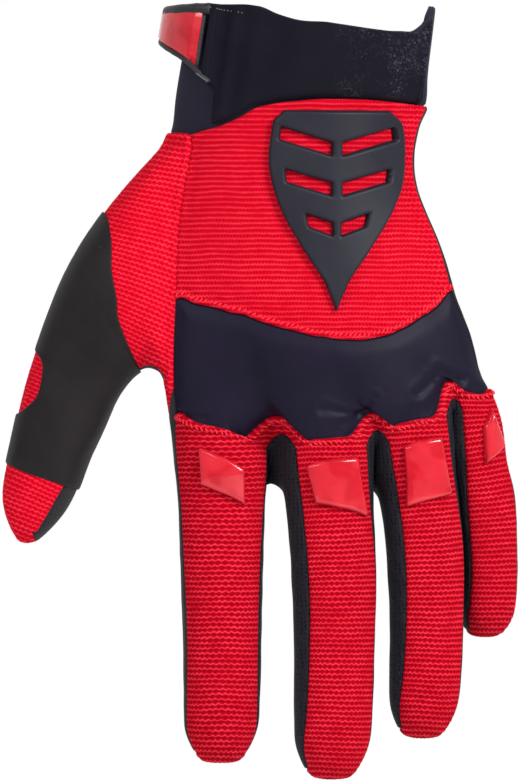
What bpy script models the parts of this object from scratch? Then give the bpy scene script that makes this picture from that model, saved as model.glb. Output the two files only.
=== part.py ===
"""Mountain bike glove for the left hand, in the form it has on a hand, fingers down.

Metres. +Z is up, the back of the hand faces -Y and the thumb is at -X. The origin is the
middle of the wrist opening. The glove's outer skin is one cage of quads: rows of points across
the hand, rings round each finger and round the thumb. Each sewn panel takes its own quads of
that cage and is given its fabric's thickness inwards, with a narrow seam gap to its neighbours.
"""

import math

import bmesh
import bpy
import numpy as np
from mathutils import Vector
from mathutils.bvhtree import BVHTree

# Overall sizes of the hand of the glove
PALM_WIDTH = 0.094
PALM_DEPTH = 0.034
CUFF_LENGTH = 0.029
BACK_LENGTH = 0.061
KNUCKLE_LENGTH = 0.030
ROOT_BAND = 0.0085
PALM_DROP = 0.011
WRIST_WIDTH = 0.076
WEB_WIDTH = 0.009

# Wall of each fabric, and the clearances between pieces
KNIT_WALL = 0.0012
LEATHER_WALL = 0.0011
MESH_WALL = 0.0008
PADDED_WALL = 0.0019
CUFF_WALL = 0.0020
SEAM_GAP = 0.0003
LIFT = 0.00055
PATCH_LIFT = 0.0008
STRAP_WALL = 0.0018
TAB_WALL = 0.0016
PATCH_WALL = 0.0010
PAD_HEIGHT = 0.0022
BADGE_HEIGHT = 0.0018
BADGE_LENGTH = 0.060
BADGE_WIDTH = 0.040

# Levels of the row lines across the back of the hand
CUFF_LEVEL = -CUFF_LENGTH
HEM_LEVEL = CUFF_LEVEL - BACK_LENGTH
ZIGZAG_LEVEL = HEM_LEVEL - KNUCKLE_LENGTH
ROOT_LEVEL = ZIGZAG_LEVEL - ROOT_BAND

# Each finger: its own length, width and depth, then its root as shares of the palm's width and
# depth, and its lean and bow as shares of its length. Its curl and its roll follow, then how much
# wider it is at its root, and the root's shift as a share of the palm's width. The three pairs of
# its cover are the degrees that the knit reaches either side of the middle of its back: at the
# root, part way along and near the tip.
FINGERS = {
    "index": dict(length=0.0960, width=0.0246, depth=0.0215, x=-0.281, y=-0.09, lean=0.011,
                  bow=0.010, curl=0.09, roll=1, flare=1.09, shift=0.013,
                  cover=((80, 84), (64, 66), (66, 68))),
    "middle": dict(length=0.1004, width=0.0253, depth=0.0220, x=0.080, y=-0.15, lean=0.004,
                   bow=0.010, curl=0.10, roll=15, flare=1.07, shift=-0.009,
                   cover=((56, 42), (48, 66), (57, 60))),
    "ring": dict(length=0.0936, width=0.0232, depth=0.0208, x=0.345, y=-0.03, lean=0.030,
                 bow=0.026, curl=0.13, roll=16, flare=1.00, shift=0.000,
                 cover=((52, 38), (44, 68), (54, 56))),
    "little": dict(length=0.0663, width=0.0190, depth=0.0185, x=0.527, y=0.20, lean=0.072,
                   bow=0.036, curl=0.17, roll=24, flare=0.95, shift=0.000,
                   cover=((38, 54), (58, 50), (58, 52))),
}
FINGER_NAMES = list(FINGERS)

# Sections along a finger, from its root: place along it, width and depth, each as a share
FINGER_SECTIONS = [
    dict(along=0.00, width=1.05, depth=1.04),
    dict(along=0.12, width=1.00, depth=1.00),
    dict(along=0.24, width=1.00, depth=0.98),
    dict(along=0.36, width=1.01, depth=1.00),
    dict(along=0.48, width=0.99, depth=1.00),
    dict(along=0.60, width=0.96, depth=0.96),
    dict(along=0.72, width=0.95, depth=0.95),
    dict(along=0.83, width=0.92, depth=0.91),
    dict(along=0.92, width=0.80, depth=0.76),
    dict(along=0.975, width=0.56, depth=0.50),
]
FINGER_ROUNDNESS = 2.3
ROOT_SLANT_REACH = 0.35
# Degrees by which the knit covers more of each side at the last sections, towards the tip
COVER_SPREAD = {7: 4, 8: 12, 9: 26}
# Places along a finger of the second and third pair of its cover, and how far its flare reaches
COVER_STOPS = (0.42, 0.90)
FLARE_REACH = 0.40

# Lines across the back of the hand. Each value is the drop below the line's level, as a share of
# the palm's width, at the left, middle and right of each finger's column and at the web after it.
# The last one is how far the rows above the fingers lie to the right of the even columns instead
LINES = {
    "cuff_edge": dict(index=(0.059, 0.036, 0.003), web1=-0.014, middle=(-0.028, -0.044, -0.052),
                      web2=-0.054, ring=(-0.055, -0.055, -0.053), web3=-0.051,
                      little=(-0.049, -0.043, -0.034)),
    "hem": dict(index=(-0.068, -0.046, -0.022), web1=-0.013, middle=(-0.002, 0.029, 0.053),
                web2=0.058, ring=(0.063, 0.067, 0.049), web3=0.037,
                little=(0.019, -0.027, -0.096)),
    "zigzag": dict(index=(-0.022, 0.020, 0.066), web1=-0.021, middle=(0.066, 0.060, 0.044),
                   web2=-0.031, ring=(0.024, 0.006, -0.022), web3=-0.124,
                   little=(-0.100, -0.086, -0.099)),
    "root": dict(index=(-0.030, 0.010, 0.002), web1=-0.042, middle=(-0.003, 0.006, -0.013),
                 web2=-0.053, ring=(-0.019, -0.040, -0.112), web3=-0.155,
                 little=(-0.121, -0.090, -0.077)),
    "palm_root": dict(index=(0.010, 0.030, 0.022), web1=0.000, middle=(0.020, 0.036, 0.030),
                      web2=0.010, ring=(0.024, 0.010, -0.030), web3=-0.060,
                      little=(-0.045, -0.030, -0.040)),
    "sideways": dict(index=(0.008, 0.000, -0.026), web1=0.032, middle=(0.078, 0.036, 0.016),
                     web2=0.036, ring=(0.066, 0.024, 0.026), web3=0.020,
                     little=(0.040, 0.018, -0.004)),
}

# Rows between the cuff and the finger roots: the two lines each lies between and how far along,
# then the seam, edge and palm corner places as shares of the palm's width, and the back's top,
# its drops to either side and the palm's bottom as shares of the palm's depth
PALM_ROWS = [
    dict(lines=("cuff_edge", "hem", 0.00), seam=-0.355, edge=0.374, side=0.381, top=-0.66,
         seam_drop=0.28, edge_drop=0.50, palm=0.62, heel=0.00),
    dict(lines=("cuff_edge", "hem", 0.25), seam=-0.378, edge=0.337, side=0.343, top=-0.65,
         seam_drop=0.22, edge_drop=0.46, palm=0.62, heel=0.02),
    dict(lines=("cuff_edge", "hem", 0.50), seam=-0.399, edge=0.358, side=0.364, top=-0.63,
         seam_drop=0.18, edge_drop=0.44, palm=0.60, heel=0.06),
    dict(lines=("cuff_edge", "hem", 0.75), seam=-0.408, edge=0.422, side=0.431, top=-0.61,
         seam_drop=0.17, edge_drop=0.45, palm=0.54, heel=0.05),
    dict(lines=("hem", "zigzag", 0.00), seam=-0.412, edge=0.471, side=0.486, top=-0.59,
         seam_drop=0.16, edge_drop=0.46, palm=0.49, heel=0.02),
    dict(lines=("hem", "zigzag", 0.42), seam=-0.424, edge=0.518, side=0.535, top=-0.57,
         seam_drop=0.15, edge_drop=0.50, palm=0.46, heel=0.00),
    dict(lines=("hem", "zigzag", 0.80), seam=-0.432, edge=0.540, side=0.554, top=-0.53,
         seam_drop=0.14, edge_drop=0.55, palm=0.45, heel=0.00),
    dict(lines=("zigzag", "root", 0.00), seam=-0.430, edge=0.543, side=0.566, top=-0.50,
         seam_drop=0.14, edge_drop=0.60, palm=0.42, heel=0.00),
]
LAST_ROW = len(PALM_ROWS)
CROTCH_ROW = 6
ARCH_PEAK = 0.40
# How much each row below the hem already takes the lumps and hollows of the finger roots
KNUCKLE_LUMP = {5: 0.10, 6: 0.25, 7: 0.60}
SIDEWAYS_SHARE = {5: 0.30, 6: 0.65, 7: 1.00}

# Cuff rows above the cuff edge, and the rim's height at places round the wrist, as shares of the
# cuff's length
CUFF_ROWS = (0.25, 0.55, 0.85, 1.0)
RIM = dict(thumb_side=0.06, back_left=0.14, back_mid=-0.03, back_right=-0.13, little_side=0.14,
           palm=-0.20)
NORMAL_PASSES = 1
CUFF_SHIFT = 0.155
CUFF_TAPER = 0.965

# Thumb rings from the seam outwards. Outer and inner edges as shares of the palm's width to the
# side and of it below the cuff edge; the middle's setback and the half depth as shares of the
# palm's depth; and the turn of the leather's seam on the inner side
THUMB_RINGS = [
    dict(outer=(-0.495, 0.137), inner=(-0.452, 0.840), set=-0.04, depth=0.46, inner_turn=72),
    dict(outer=(-0.596, 0.249), inner=(-0.473, 0.812), set=0.00, depth=0.48, inner_turn=74),
    dict(outer=(-0.690, 0.374), inner=(-0.502, 0.802), set=0.04, depth=0.47, inner_turn=76),
    dict(outer=(-0.757, 0.489), inner=(-0.536, 0.816), set=0.09, depth=0.44, inner_turn=76),
    dict(outer=(-0.808, 0.604), inner=(-0.571, 0.851), set=0.14, depth=0.40, inner_turn=74),
    dict(outer=(-0.850, 0.719), inner=(-0.604, 0.900), set=0.18, depth=0.37, inner_turn=70),
    dict(outer=(-0.885, 0.824), inner=(-0.632, 0.962), set=0.22, depth=0.355, inner_turn=66),
    dict(outer=(-0.912, 0.926), inner=(-0.661, 1.029), set=0.26, depth=0.350, inner_turn=60),
    dict(outer=(-0.935, 1.027), inner=(-0.692, 1.097), set=0.30, depth=0.340, inner_turn=48),
    dict(outer=(-0.956, 1.120), inner=(-0.719, 1.173), set=0.33, depth=0.320, inner_turn=38),
    dict(outer=(-0.968, 1.198), inner=(-0.745, 1.230), set=0.36, depth=0.285, inner_turn=30),
    dict(outer=(-0.960, 1.268), inner=(-0.778, 1.281), set=0.38, depth=0.235, inner_turn=25),
    dict(outer=(-0.935, 1.328), inner=(-0.826, 1.330), set=0.40, depth=0.160, inner_turn=22),
]
THUMB_OUTER_TURN = 58
THUMB_BLEND = (0.55, 0.15)

# Patch over the thumb: for each ring that it covers, its first and last column round the thumb,
# and how many rings further down its last column lies
THUMB_PATCH = [
    dict(ring=2.41, first=-0.35, last=0.25, tilt=0.0),
    dict(ring=2.52, first=-0.90, last=1.1, tilt=0.0),
    dict(ring=2.78, first=-1.0, last=1.8, tilt=0.0),
    dict(ring=3.0, first=-1.0, last=2.5, tilt=0.0),
    dict(ring=3.35, first=-1.0, last=3.1, tilt=0.0),
    dict(ring=3.6, first=-1.0, last=4.6, tilt=0.0),
    dict(ring=3.9, first=-1.0, last=7.0, tilt=0.0),
    dict(ring=5.0, first=-1.0, last=7.0, tilt=0.0),
    dict(ring=6.1, first=-1.0, last=7.0, tilt=0.0),
    dict(ring=6.4, first=0.4, last=7.0, tilt=0.0),
    dict(ring=6.8, first=0.9, last=7.0, tilt=0.0),
    dict(ring=7.5, first=1.0, last=7.0, tilt=0.0),
    dict(ring=8.0, first=0.1, last=7.0, tilt=0.1),
    dict(ring=8.35, first=-0.9, last=7.0, tilt=0.2),
    dict(ring=9.0, first=-1.0, last=7.0, tilt=0.3),
    dict(ring=9.8, first=-1.0, last=6.8, tilt=0.5),
]

# Wrist strap, from its sewn end on the little-finger side round the back to its tab: place
# round the wrist in columns, lower and upper edges as shares of the cuff's height, and its
# standing off the cuff as a share of the wrist's width
STRAP = [
    dict(place=21.5, low=0.02, high=0.99, off=0.000),
    dict(place=21.0, low=0.02, high=0.99, off=0.000),
    dict(place=15.0, low=0.02, high=0.99, off=0.002),
    dict(place=9.0, low=0.02, high=0.99, off=0.004),
    dict(place=5.0, low=0.02, high=0.99, off=0.006),
    dict(place=2.6, low=0.02, high=1.00, off=0.012),
    dict(place=1.9, low=0.02, high=1.00, off=0.014),
    dict(place=1.7, low=0.32, high=1.00, off=0.016),
    dict(place=1.0, low=0.38, high=1.00, off=0.026),
    dict(place=0.5, low=0.44, high=1.00, off=0.042),
    dict(place=0.0, low=0.54, high=1.00, off=0.058),
    dict(place=-1.0, low=0.72, high=1.00, off=0.075),
    dict(place=-2.0, low=0.72, high=0.99, off=0.050),
    dict(place=-5.0, low=0.62, high=0.97, off=0.012),
    dict(place=-9.0, low=0.58, high=0.95, off=0.000),
    dict(place=-12.0, low=0.60, high=0.92, off=0.000),
]

# Knuckle pads: the turn of the left and right corners and their place along the finger, as
# degrees and shares of the finger's length, on the upper and on the lower edge
PADS = {
    "index": dict(upper=((-25, 0.010), (26, 0.066)), lower=((-24, 0.126), (27, 0.182))),
    "middle": dict(upper=((-38, 0.045), (21, 0.030)), lower=((-30, 0.164), (35, 0.207))),
    "ring": dict(upper=((-27, 0.030), (20, 0.040)), lower=((-34, 0.240), (30, 0.218))),
    "little": dict(upper=((-3, 0.045), (13, -0.050)), lower=((-10, 0.215), (31, 0.110))),
}

# Badge on the back of the hand: half widths down its length, and its chevron slots, as shares
BADGE_OUTLINE = [
    dict(down=0.00, half=0.78), dict(down=0.16, half=0.94), dict(down=0.38, half=1.00),
    dict(down=0.60, half=0.82), dict(down=0.80, half=0.48), dict(down=1.00, half=0.12),
]
BADGE_SLOTS = [
    dict(down=0.20, half=0.68), dict(down=0.40, half=0.60), dict(down=0.60, half=0.42),
]
BADGE_SLOT_HEIGHT = 0.055
BADGE_SLOT_RISE = 0.10
BADGE_RIB_HALF = 0.07
BADGE_X = 0.098
BADGE_TOP_DROP = -0.0015

TAB_START = 0.35
COLUMNS = 22
FINGER_STEPS = 4
WEB_STEPS = 2


def clear_scene():
    for old in list(bpy.data.objects):
        bpy.data.objects.remove(old, do_unlink=True)


def material(name, colour, roughness, metallic=0.0):
    made = bpy.data.materials.new(name)
    made.use_nodes = True
    shader = made.node_tree.nodes["Principled BSDF"]
    shader.inputs["Base Color"].default_value = (*colour, 1.0)
    shader.inputs["Roughness"].default_value = roughness
    shader.inputs["Metallic"].default_value = metallic
    made.diffuse_color = (*colour, 1.0)
    return made


def mix(a, b, t):
    return a + (b - a) * t


def oval(angle_deg, roundness):
    """A point of a rounded oval of half width and half depth 1: angle 0 is the back of the hand."""
    angle = math.radians(angle_deg)
    power = 2.0 / roundness
    s, c = math.sin(angle), math.cos(angle)
    return math.copysign(abs(s) ** power, s), -math.copysign(abs(c) ** power, c)


def table_curve(table, key, value, place):
    """value at place, read from a table by a smooth curve through its rows."""
    places = [row[key] for row in table]
    values = [row[value] for row in table]
    last = len(table) - 1
    i = 0
    while i < last - 1 and place > places[i + 1]:
        i += 1
    t = (place - places[i]) / (places[i + 1] - places[i])
    t = max(0.0, min(1.0, t))
    p0, p1, p2, p3 = (values[max(0, min(last, i + n))] for n in (-1, 0, 1, 2))
    return 0.5 * (2 * p1 + (p2 - p0) * t + (2 * p0 - 5 * p1 + 4 * p2 - p3) * t ** 2
                  + (3 * p1 - p0 - 3 * p2 + p3) * t ** 3)


def line_drops(line):
    """The drop of a line below its level at each column across the hand."""
    row = LINES[line]
    drops = []
    for n, finger in enumerate(FINGER_NAMES):
        left, middle, right = row[finger]
        drops += [left, mix(left, middle, 0.55), middle, mix(middle, right, 0.45), right]
        if n < 3:
            drops.append(row[f"web{n + 1}"])
    return [drop * PALM_WIDTH for drop in drops]


LINE_LEVELS = {"cuff_edge": CUFF_LEVEL, "hem": HEM_LEVEL, "zigzag": ZIGZAG_LEVEL,
               "root": ROOT_LEVEL, "palm_root": ROOT_LEVEL - PALM_DROP}


def line_heights(line):
    return [LINE_LEVELS[line] - drop for drop in line_drops(line)]


def first_column(finger_number):
    return finger_number * (FINGER_STEPS + WEB_STEPS)


def column_shares():
    """Place of each column across the back of the hand, from 0 at the thumb's seam to 1."""
    widths = []
    for n, finger in enumerate(FINGER_NAMES):
        widths += [FINGERS[finger]["width"] / FINGER_STEPS] * FINGER_STEPS
        if n < 3:
            widths += [WEB_WIDTH / WEB_STEPS] * WEB_STEPS
    total = sum(widths)
    return [sum(widths[:i]) / total for i in range(len(widths) + 1)]


class Finger:
    """The shape of one finger of the glove: a bowed and curled tube of oval sections."""

    def __init__(self, name):
        self.size = FINGERS[name]
        self.number = FINGER_NAMES.index(name)
        self.column = first_column(self.number)
        root, palm_root = line_heights("root"), line_heights("palm_root")
        ends = (self.column, self.column + FINGER_STEPS)
        self.root_z = sum(root[i] for i in ends) / 2
        self.slant = (root[ends[1]] - root[ends[0]]) / 2
        palm_z = sum(palm_root[i] for i in ends) / 2
        self.tilt = (palm_z - self.root_z) / 2

    def centre(self, along):
        size = self.size
        x = size["x"] * PALM_WIDTH
        x += size["length"] * (size["lean"] * along + size["bow"] * math.sin(math.pi * along))
        x += size["shift"] * PALM_WIDTH * max(0.0, min(1.0, 1.0 - along / FLARE_REACH))
        y = size["y"] * PALM_DEPTH + size["length"] * size["curl"] * along ** 2
        return Vector((x, y, self.root_z - size["length"] * along))

    def angles(self, station=0):
        """Turn of each of a ring's 12 points, from the left of the knit, over the back."""
        along = FINGER_SECTIONS[station]["along"]
        root, middle, tip = self.size["cover"]
        near = min(1.0, along / COVER_STOPS[0])
        far = max(0.0, min(1.0, (along - COVER_STOPS[0]) / (COVER_STOPS[1] - COVER_STOPS[0])))
        spread = COVER_SPREAD.get(station, 0)
        left, right = (mix(mix(root[i], middle[i], near), tip[i], far) + spread for i in (0, 1))
        under = 56
        back = [mix(-left, right, i / FINGER_STEPS) for i in range(FINGER_STEPS + 1)]
        palm = [mix(180 - under, 180 + under, i / FINGER_STEPS) for i in range(FINGER_STEPS + 1)]
        return back + [(right + 180 - under) / 2] + palm + [(180 + under + 360 - left) / 2]

    def point(self, along, angle, swell=0.0):
        size = self.size
        width = table_curve(FINGER_SECTIONS, "along", "width", along) * size["width"] / 2 + swell
        width *= mix(size["flare"], 1.0, max(0.0, min(1.0, along / FLARE_REACH)))
        depth = table_curve(FINGER_SECTIONS, "along", "depth", along) * size["depth"] / 2 + swell
        across, inward = oval(angle, FINGER_ROUNDNESS)
        roll = math.radians(size["roll"])
        x, y = across * width, inward * depth
        point = self.centre(along)
        point.x += x * math.cos(roll) - y * math.sin(roll)
        point.y += x * math.sin(roll) + y * math.cos(roll)
        fade = max(0.0, 1.0 - along / ROOT_SLANT_REACH)
        point.z += fade * (self.slant * across + self.tilt * (1.0 + inward))
        return point

    def normal(self, along, angle):
        """Outward direction at a point of the finger's side."""
        step = 0.5
        tangent = self.point(along, angle + step) - self.point(along, angle - step)
        down = self.point(along + 0.01, angle) - self.point(along - 0.01, angle)
        out = down.cross(tangent).normalized()
        centre = self.centre(along)
        return out if out.dot(self.point(along, angle) - centre) > 0 else -out


class Cage:
    """Named points and the quads between them, each quad on one panel."""

    def __init__(self):
        self.points = {}
        self.quads = []

    def quad(self, panel, *keys):
        self.quads.append((panel, keys))

    def grid(self, panel, rows):
        for upper, lower in zip(rows, rows[1:]):
            for i in range(len(upper) - 1):
                self.quad(panel, upper[i], upper[i + 1], lower[i + 1], lower[i])


def root_keys(finger):
    """Cage names of the ring where a finger leaves the palm, in the order of its angles."""
    n, c = finger.number, finger.column
    back = [("back", LAST_ROW, c + i) for i in range(FINGER_STEPS + 1)]
    palm = [("palm", LAST_ROW, c + i) for i in range(FINGER_STEPS, -1, -1)]
    right = ("right", LAST_ROW) if n == 3 else ("side", n, "right")
    left = ("left", LAST_ROW) if n == 0 else ("side", n, "left")
    return back + [right] + palm + [left]


def ring_keys(finger, station):
    if station == 0:
        return root_keys(finger)
    return [("finger", finger.number, station, j) for j in range(12)]


def place_finger_roots(cage, fingers):
    root, palm_root = line_heights("root"), line_heights("palm_root")
    for finger in fingers:
        for key, angle in zip(root_keys(finger), finger.angles()):
            point = finger.point(0.0, angle)
            if key[0] == "back":
                point.z = root[key[2]]
            elif key[0] == "palm":
                point.z = palm_root[key[2]]
            cage.points[key] = point
    for n in range(3):
        column = first_column(n) + FINGER_STEPS + 1
        for side, heights, sink in (("back", root, 0.06), ("palm", palm_root, -0.04)):
            left = cage.points[(side, LAST_ROW, column - 1)]
            right = cage.points[(side, LAST_ROW, column + 1)]
            point = (left + right) / 2
            point.z = heights[column]
            point.y += sink * PALM_DEPTH
            cage.points[(side, LAST_ROW, column)] = point
        left, right = cage.points[("side", n, "right")], cage.points[("side", n + 1, "left")]
        crotch = (left + right) / 2
        upper = cage.points[("back", LAST_ROW, column)]
        lower = cage.points[("palm", LAST_ROW, column)]
        crotch.z = mix(upper.z, lower.z, 0.45)
        crotch.y = mix(upper.y, lower.y, 0.5)
        cage.points[("web", n)] = crotch


def palm_row(cage, k):
    """Places one row of points round the hand, between the cuff edge and the finger roots."""
    row = PALM_ROWS[k]
    first, second, share = row["lines"]
    upper, lower = line_heights(first), line_heights(second)
    shares = column_shares()
    lump = KNUCKLE_LUMP.get(k, 0.0)
    sideways = [drop * SIDEWAYS_SHARE.get(k, 0.0) for drop in line_drops("sideways")]
    seam_x, edge_x = row["seam"] * PALM_WIDTH, row["edge"] * PALM_WIDTH
    top = row["top"] * PALM_DEPTH
    roots = {side: [cage.points[(side, LAST_ROW, i)] for i in range(COLUMNS + 1)]
             for side in ("back", "palm")}
    palm_fall = (roots["palm"][0].z - CUFF_LEVEL) / LAST_ROW
    for i, u in enumerate(shares):
        if u < ARCH_PEAK:
            drop = row["seam_drop"] * ((ARCH_PEAK - u) / ARCH_PEAK) ** 2
        else:
            drop = row["edge_drop"] * ((u - ARCH_PEAK) / (1 - ARCH_PEAK)) ** 2.6
        point = Vector((mix(seam_x, edge_x, u), top + drop * PALM_DEPTH,
                        mix(upper[i], lower[i], share)))
        root = roots["back"][i]
        point.x = mix(point.x, root.x, lump) + sideways[i]
        point.y = mix(point.y, root.y, lump)
        cage.points[("back", k, i)] = point
    left_corner, right_corner = cage.points[("back", k, 0)], cage.points[("back", k, COLUMNS)]
    palm_y = row["palm"] * PALM_DEPTH
    for i, u in enumerate(shares):
        heel = row["heel"] * PALM_DEPTH * math.sin(math.pi * u)
        y = palm_y + heel - 0.24 * PALM_DEPTH * abs(2 * u - 1) ** 3
        x = mix(seam_x + 0.035 * PALM_WIDTH, edge_x - 0.005 * PALM_WIDTH, u)
        corner_z = mix(left_corner.z, right_corner.z, u)
        fall = CUFF_LEVEL + palm_fall * k
        blend = k / LAST_ROW
        z = mix(corner_z, mix(fall, roots["palm"][i].z, blend), blend)
        root = roots["palm"][i]
        cage.points[("palm", k, i)] = Vector((mix(x, root.x, lump), mix(y, root.y, lump), z))
    palm_left, palm_right = cage.points[("palm", k, 0)], cage.points[("palm", k, COLUMNS)]
    side = (right_corner + palm_right) / 2
    side.x = row["side"] * PALM_WIDTH
    cage.points[("right", k)] = side
    side = (left_corner + palm_left) / 2
    if k == 0:
        side.x = seam_x - 0.084 * PALM_WIDTH
    else:
        side.x = min(left_corner.x, palm_left.x) - 0.012 * PALM_WIDTH
    if k == 0 or k >= CROTCH_ROW:
        cage.points[("left", k)] = side


def wrist_ring(k):
    """Cage names round the wrist at a cuff row, from the thumb's seam over the back."""
    back = [("back", k, i) for i in range(COLUMNS + 1)]
    palm = [("palm", k, i) for i in range(COLUMNS, -1, -1)]
    return back + [("right", k)] + palm + [("left", k)]


def rim_height(number):
    """Height of the cuff's rim at a point of the wrist ring."""
    stops = [(0, "back_left"), (3, "back_left"), (9, "back_mid"), (18, "back_right"),
             (20, "back_right"), (23, "little_side"), (26, "palm"), (42, "palm"),
             (46, "thumb_side"), (48, "back_left")]
    for (a, low), (b, high) in zip(stops, stops[1:]):
        if a <= number <= b:
            t = (number - a) / (b - a)
            t = t * t * (3 - 2 * t)
            return mix(RIM[low], RIM[high], t) * CUFF_LENGTH
    return 0.0


def place_cuff(cage):
    ring = [cage.points[key] for key in wrist_ring(0)]
    centre = sum(ring, Vector()) / len(ring)
    for n, height in enumerate(CUFF_ROWS):
        for number, (key, edge) in enumerate(zip(wrist_ring(-1 - n), ring)):
            scale = mix(1.0, CUFF_TAPER, height)
            point = centre + (edge - centre) * scale
            point.x += CUFF_SHIFT * CUFF_LENGTH * height
            point.z = mix(edge.z, rim_height(number), height)
            cage.points[key] = point


def thumb_base_keys():
    """Cage names of the ring where the thumb leaves the hand, outer side first."""
    back = [("back", k, 0) for k in range(CROTCH_ROW + 1)]
    palm = [("palm", k, 0) for k in range(CROTCH_ROW, -1, -1)]
    return back + [("left", CROTCH_ROW)] + palm + [("left", 0)]


def thumb_keys(ring):
    if ring == 0:
        return thumb_base_keys()
    return [("thumb", ring, m) for m in range(16)]


def thumb_angles(inner_turn):
    outer = THUMB_OUTER_TURN
    back = [mix(-outer, inner_turn, i / CROTCH_ROW) for i in range(CROTCH_ROW + 1)]
    under = 58
    palm = [mix(180 - under, 180 + outer, i / CROTCH_ROW) for i in range(CROTCH_ROW + 1)]
    return back + [(inner_turn + 180 - under) / 2] + palm + [270]


def place_thumb(cage):
    base = [cage.points[key] for key in thumb_base_keys()]
    for number, row in enumerate(THUMB_RINGS, start=1):
        outer = Vector((row["outer"][0] * PALM_WIDTH, 0, CUFF_LEVEL - row["outer"][1] * PALM_WIDTH))
        inner = Vector((row["inner"][0] * PALM_WIDTH, 0, CUFF_LEVEL - row["inner"][1] * PALM_WIDTH))
        centre, across = (outer + inner) / 2, (inner - outer) / 2
        centre.y = row["set"] * PALM_DEPTH
        blend = THUMB_BLEND[number - 1] if number <= len(THUMB_BLEND) else 0.0
        keys = thumb_keys(number)
        for key, angle, start in zip(keys, thumb_angles(row["inner_turn"]), base):
            along, inward = oval(angle, FINGER_ROUNDNESS)
            point = centre + across * along + Vector((0, inward * row["depth"] * PALM_DEPTH, 0))
            point.y = mix(point.y, start.y, blend)
            cage.points[key] = point


def cap_grid(cage, name, back, right, palm, left, tip):
    """Closes a tube's last ring with a middle row of points between its back and palm rows."""
    middle = [left]
    for i in range(1, len(back) - 1):
        key = (name, "tip", i)
        a, b = cage.points[back[i]], cage.points[palm[i]]
        share = 4 * i * (len(back) - 1 - i) / (len(back) - 1) ** 2
        cage.points[key] = (a + b) / 2 + tip * mix(0.55, 1.0, share)
        middle.append(key)
    middle.append(right)
    return [back, middle, palm]


def build_cage():
    cage = Cage()
    fingers = [Finger(name) for name in FINGER_NAMES]
    place_finger_roots(cage, fingers)
    for k in range(LAST_ROW):
        palm_row(cage, k)
    place_cuff(cage)
    place_thumb(cage)
    back = {k: [("back", k, i) for i in range(COLUMNS + 1)] for k in range(LAST_ROW + 1)}
    palm = {k: [("palm", k, i) for i in range(COLUMNS, -1, -1)] for k in range(LAST_ROW + 1)}
    for k in range(LAST_ROW):
        panel = "back_panel" if k < 4 else "knuckle_panel" if k < 7 else "finger_backs"
        cage.grid(panel, [back[k], back[k + 1]])
        cage.grid("palm", [palm[k], palm[k + 1]])
        cage.grid("palm", [[back[k][-1], ("right", k), palm[k][0]],
                           [back[k + 1][-1], ("right", k + 1), palm[k + 1][0]]])
        if k >= CROTCH_ROW:
            cage.grid("palm", [[palm[k][-1], ("left", k), back[k][0]],
                               [palm[k + 1][-1], ("left", k + 1), back[k + 1][0]]])
    for n in range(len(CUFF_ROWS)):
        upper, lower = wrist_ring(-1 - n), wrist_ring(-n)
        cage.grid("cuff", [upper + upper[:1], lower + lower[:1]])
    build_fingers(cage, fingers)
    build_thumb(cage)
    return cage, fingers


def build_fingers(cage, fingers):
    for finger in fingers:
        n = finger.number
        panels = ["finger_backs"] * 4 + ["palm" if n == 3 else f"fourchette_{n + 1}"] * 2
        panels += ["palm"] * 4 + ["palm" if n == 0 else f"fourchette_{n}"] * 2
        for station, row in enumerate(FINGER_SECTIONS[1:], start=1):
            for key, angle in zip(ring_keys(finger, station), finger.angles(station)):
                cage.points[key] = finger.point(row["along"], angle)
            upper, lower = ring_keys(finger, station - 1), ring_keys(finger, station)
            for j, panel in enumerate(panels):
                after = (j + 1) % 12
                cage.quad(panel, upper[j], upper[after], lower[after], lower[j])
        ring = ring_keys(finger, len(FINGER_SECTIONS) - 1)
        tip = finger.centre(1.0) - finger.centre(FINGER_SECTIONS[-1]["along"])
        rows = cap_grid(cage, finger.number, ring[0:5], ring[5], ring[10:5:-1], ring[11], tip)
        cage.grid("finger_backs", rows[:2])
        cage.grid("palm", rows[1:])
    for n in range(3):
        c = first_column(n) + FINGER_STEPS
        web, panel = ("web", n), f"fourchette_{n + 1}"
        left, right = ("side", n, "right"), ("side", n + 1, "left")
        cage.grid(panel, [[("back", LAST_ROW, c + i) for i in range(3)], [left, web, right],
                          [("palm", LAST_ROW, c + i) for i in range(3)]])


def build_thumb(cage):
    panels = ["thumb_panel"] * 6 + ["thumb_palm"] * 8 + ["thumb_panel"] * 2
    for ring in range(1, len(THUMB_RINGS) + 1):
        upper, lower = thumb_keys(ring - 1), thumb_keys(ring)
        for m, panel in enumerate(panels):
            after = (m + 1) % 16
            cage.quad(panel, upper[m], upper[after], lower[after], lower[m])
    ring = thumb_keys(len(THUMB_RINGS))
    last = THUMB_RINGS[-1]
    tip = Vector((0.0, 0.02 * PALM_DEPTH,
                  -0.33 * (last["inner"][0] - last["outer"][0]) * PALM_WIDTH))
    rows = cap_grid(cage, "thumb", ring[0:7], ring[7], ring[14:7:-1], ring[15], tip)
    cage.grid("thumb_panel", [row[:6] for row in rows[:2]])
    cage.grid("thumb_palm", [row[5:] for row in rows[:2]])
    cage.grid("thumb_palm", rows[1:])


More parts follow.
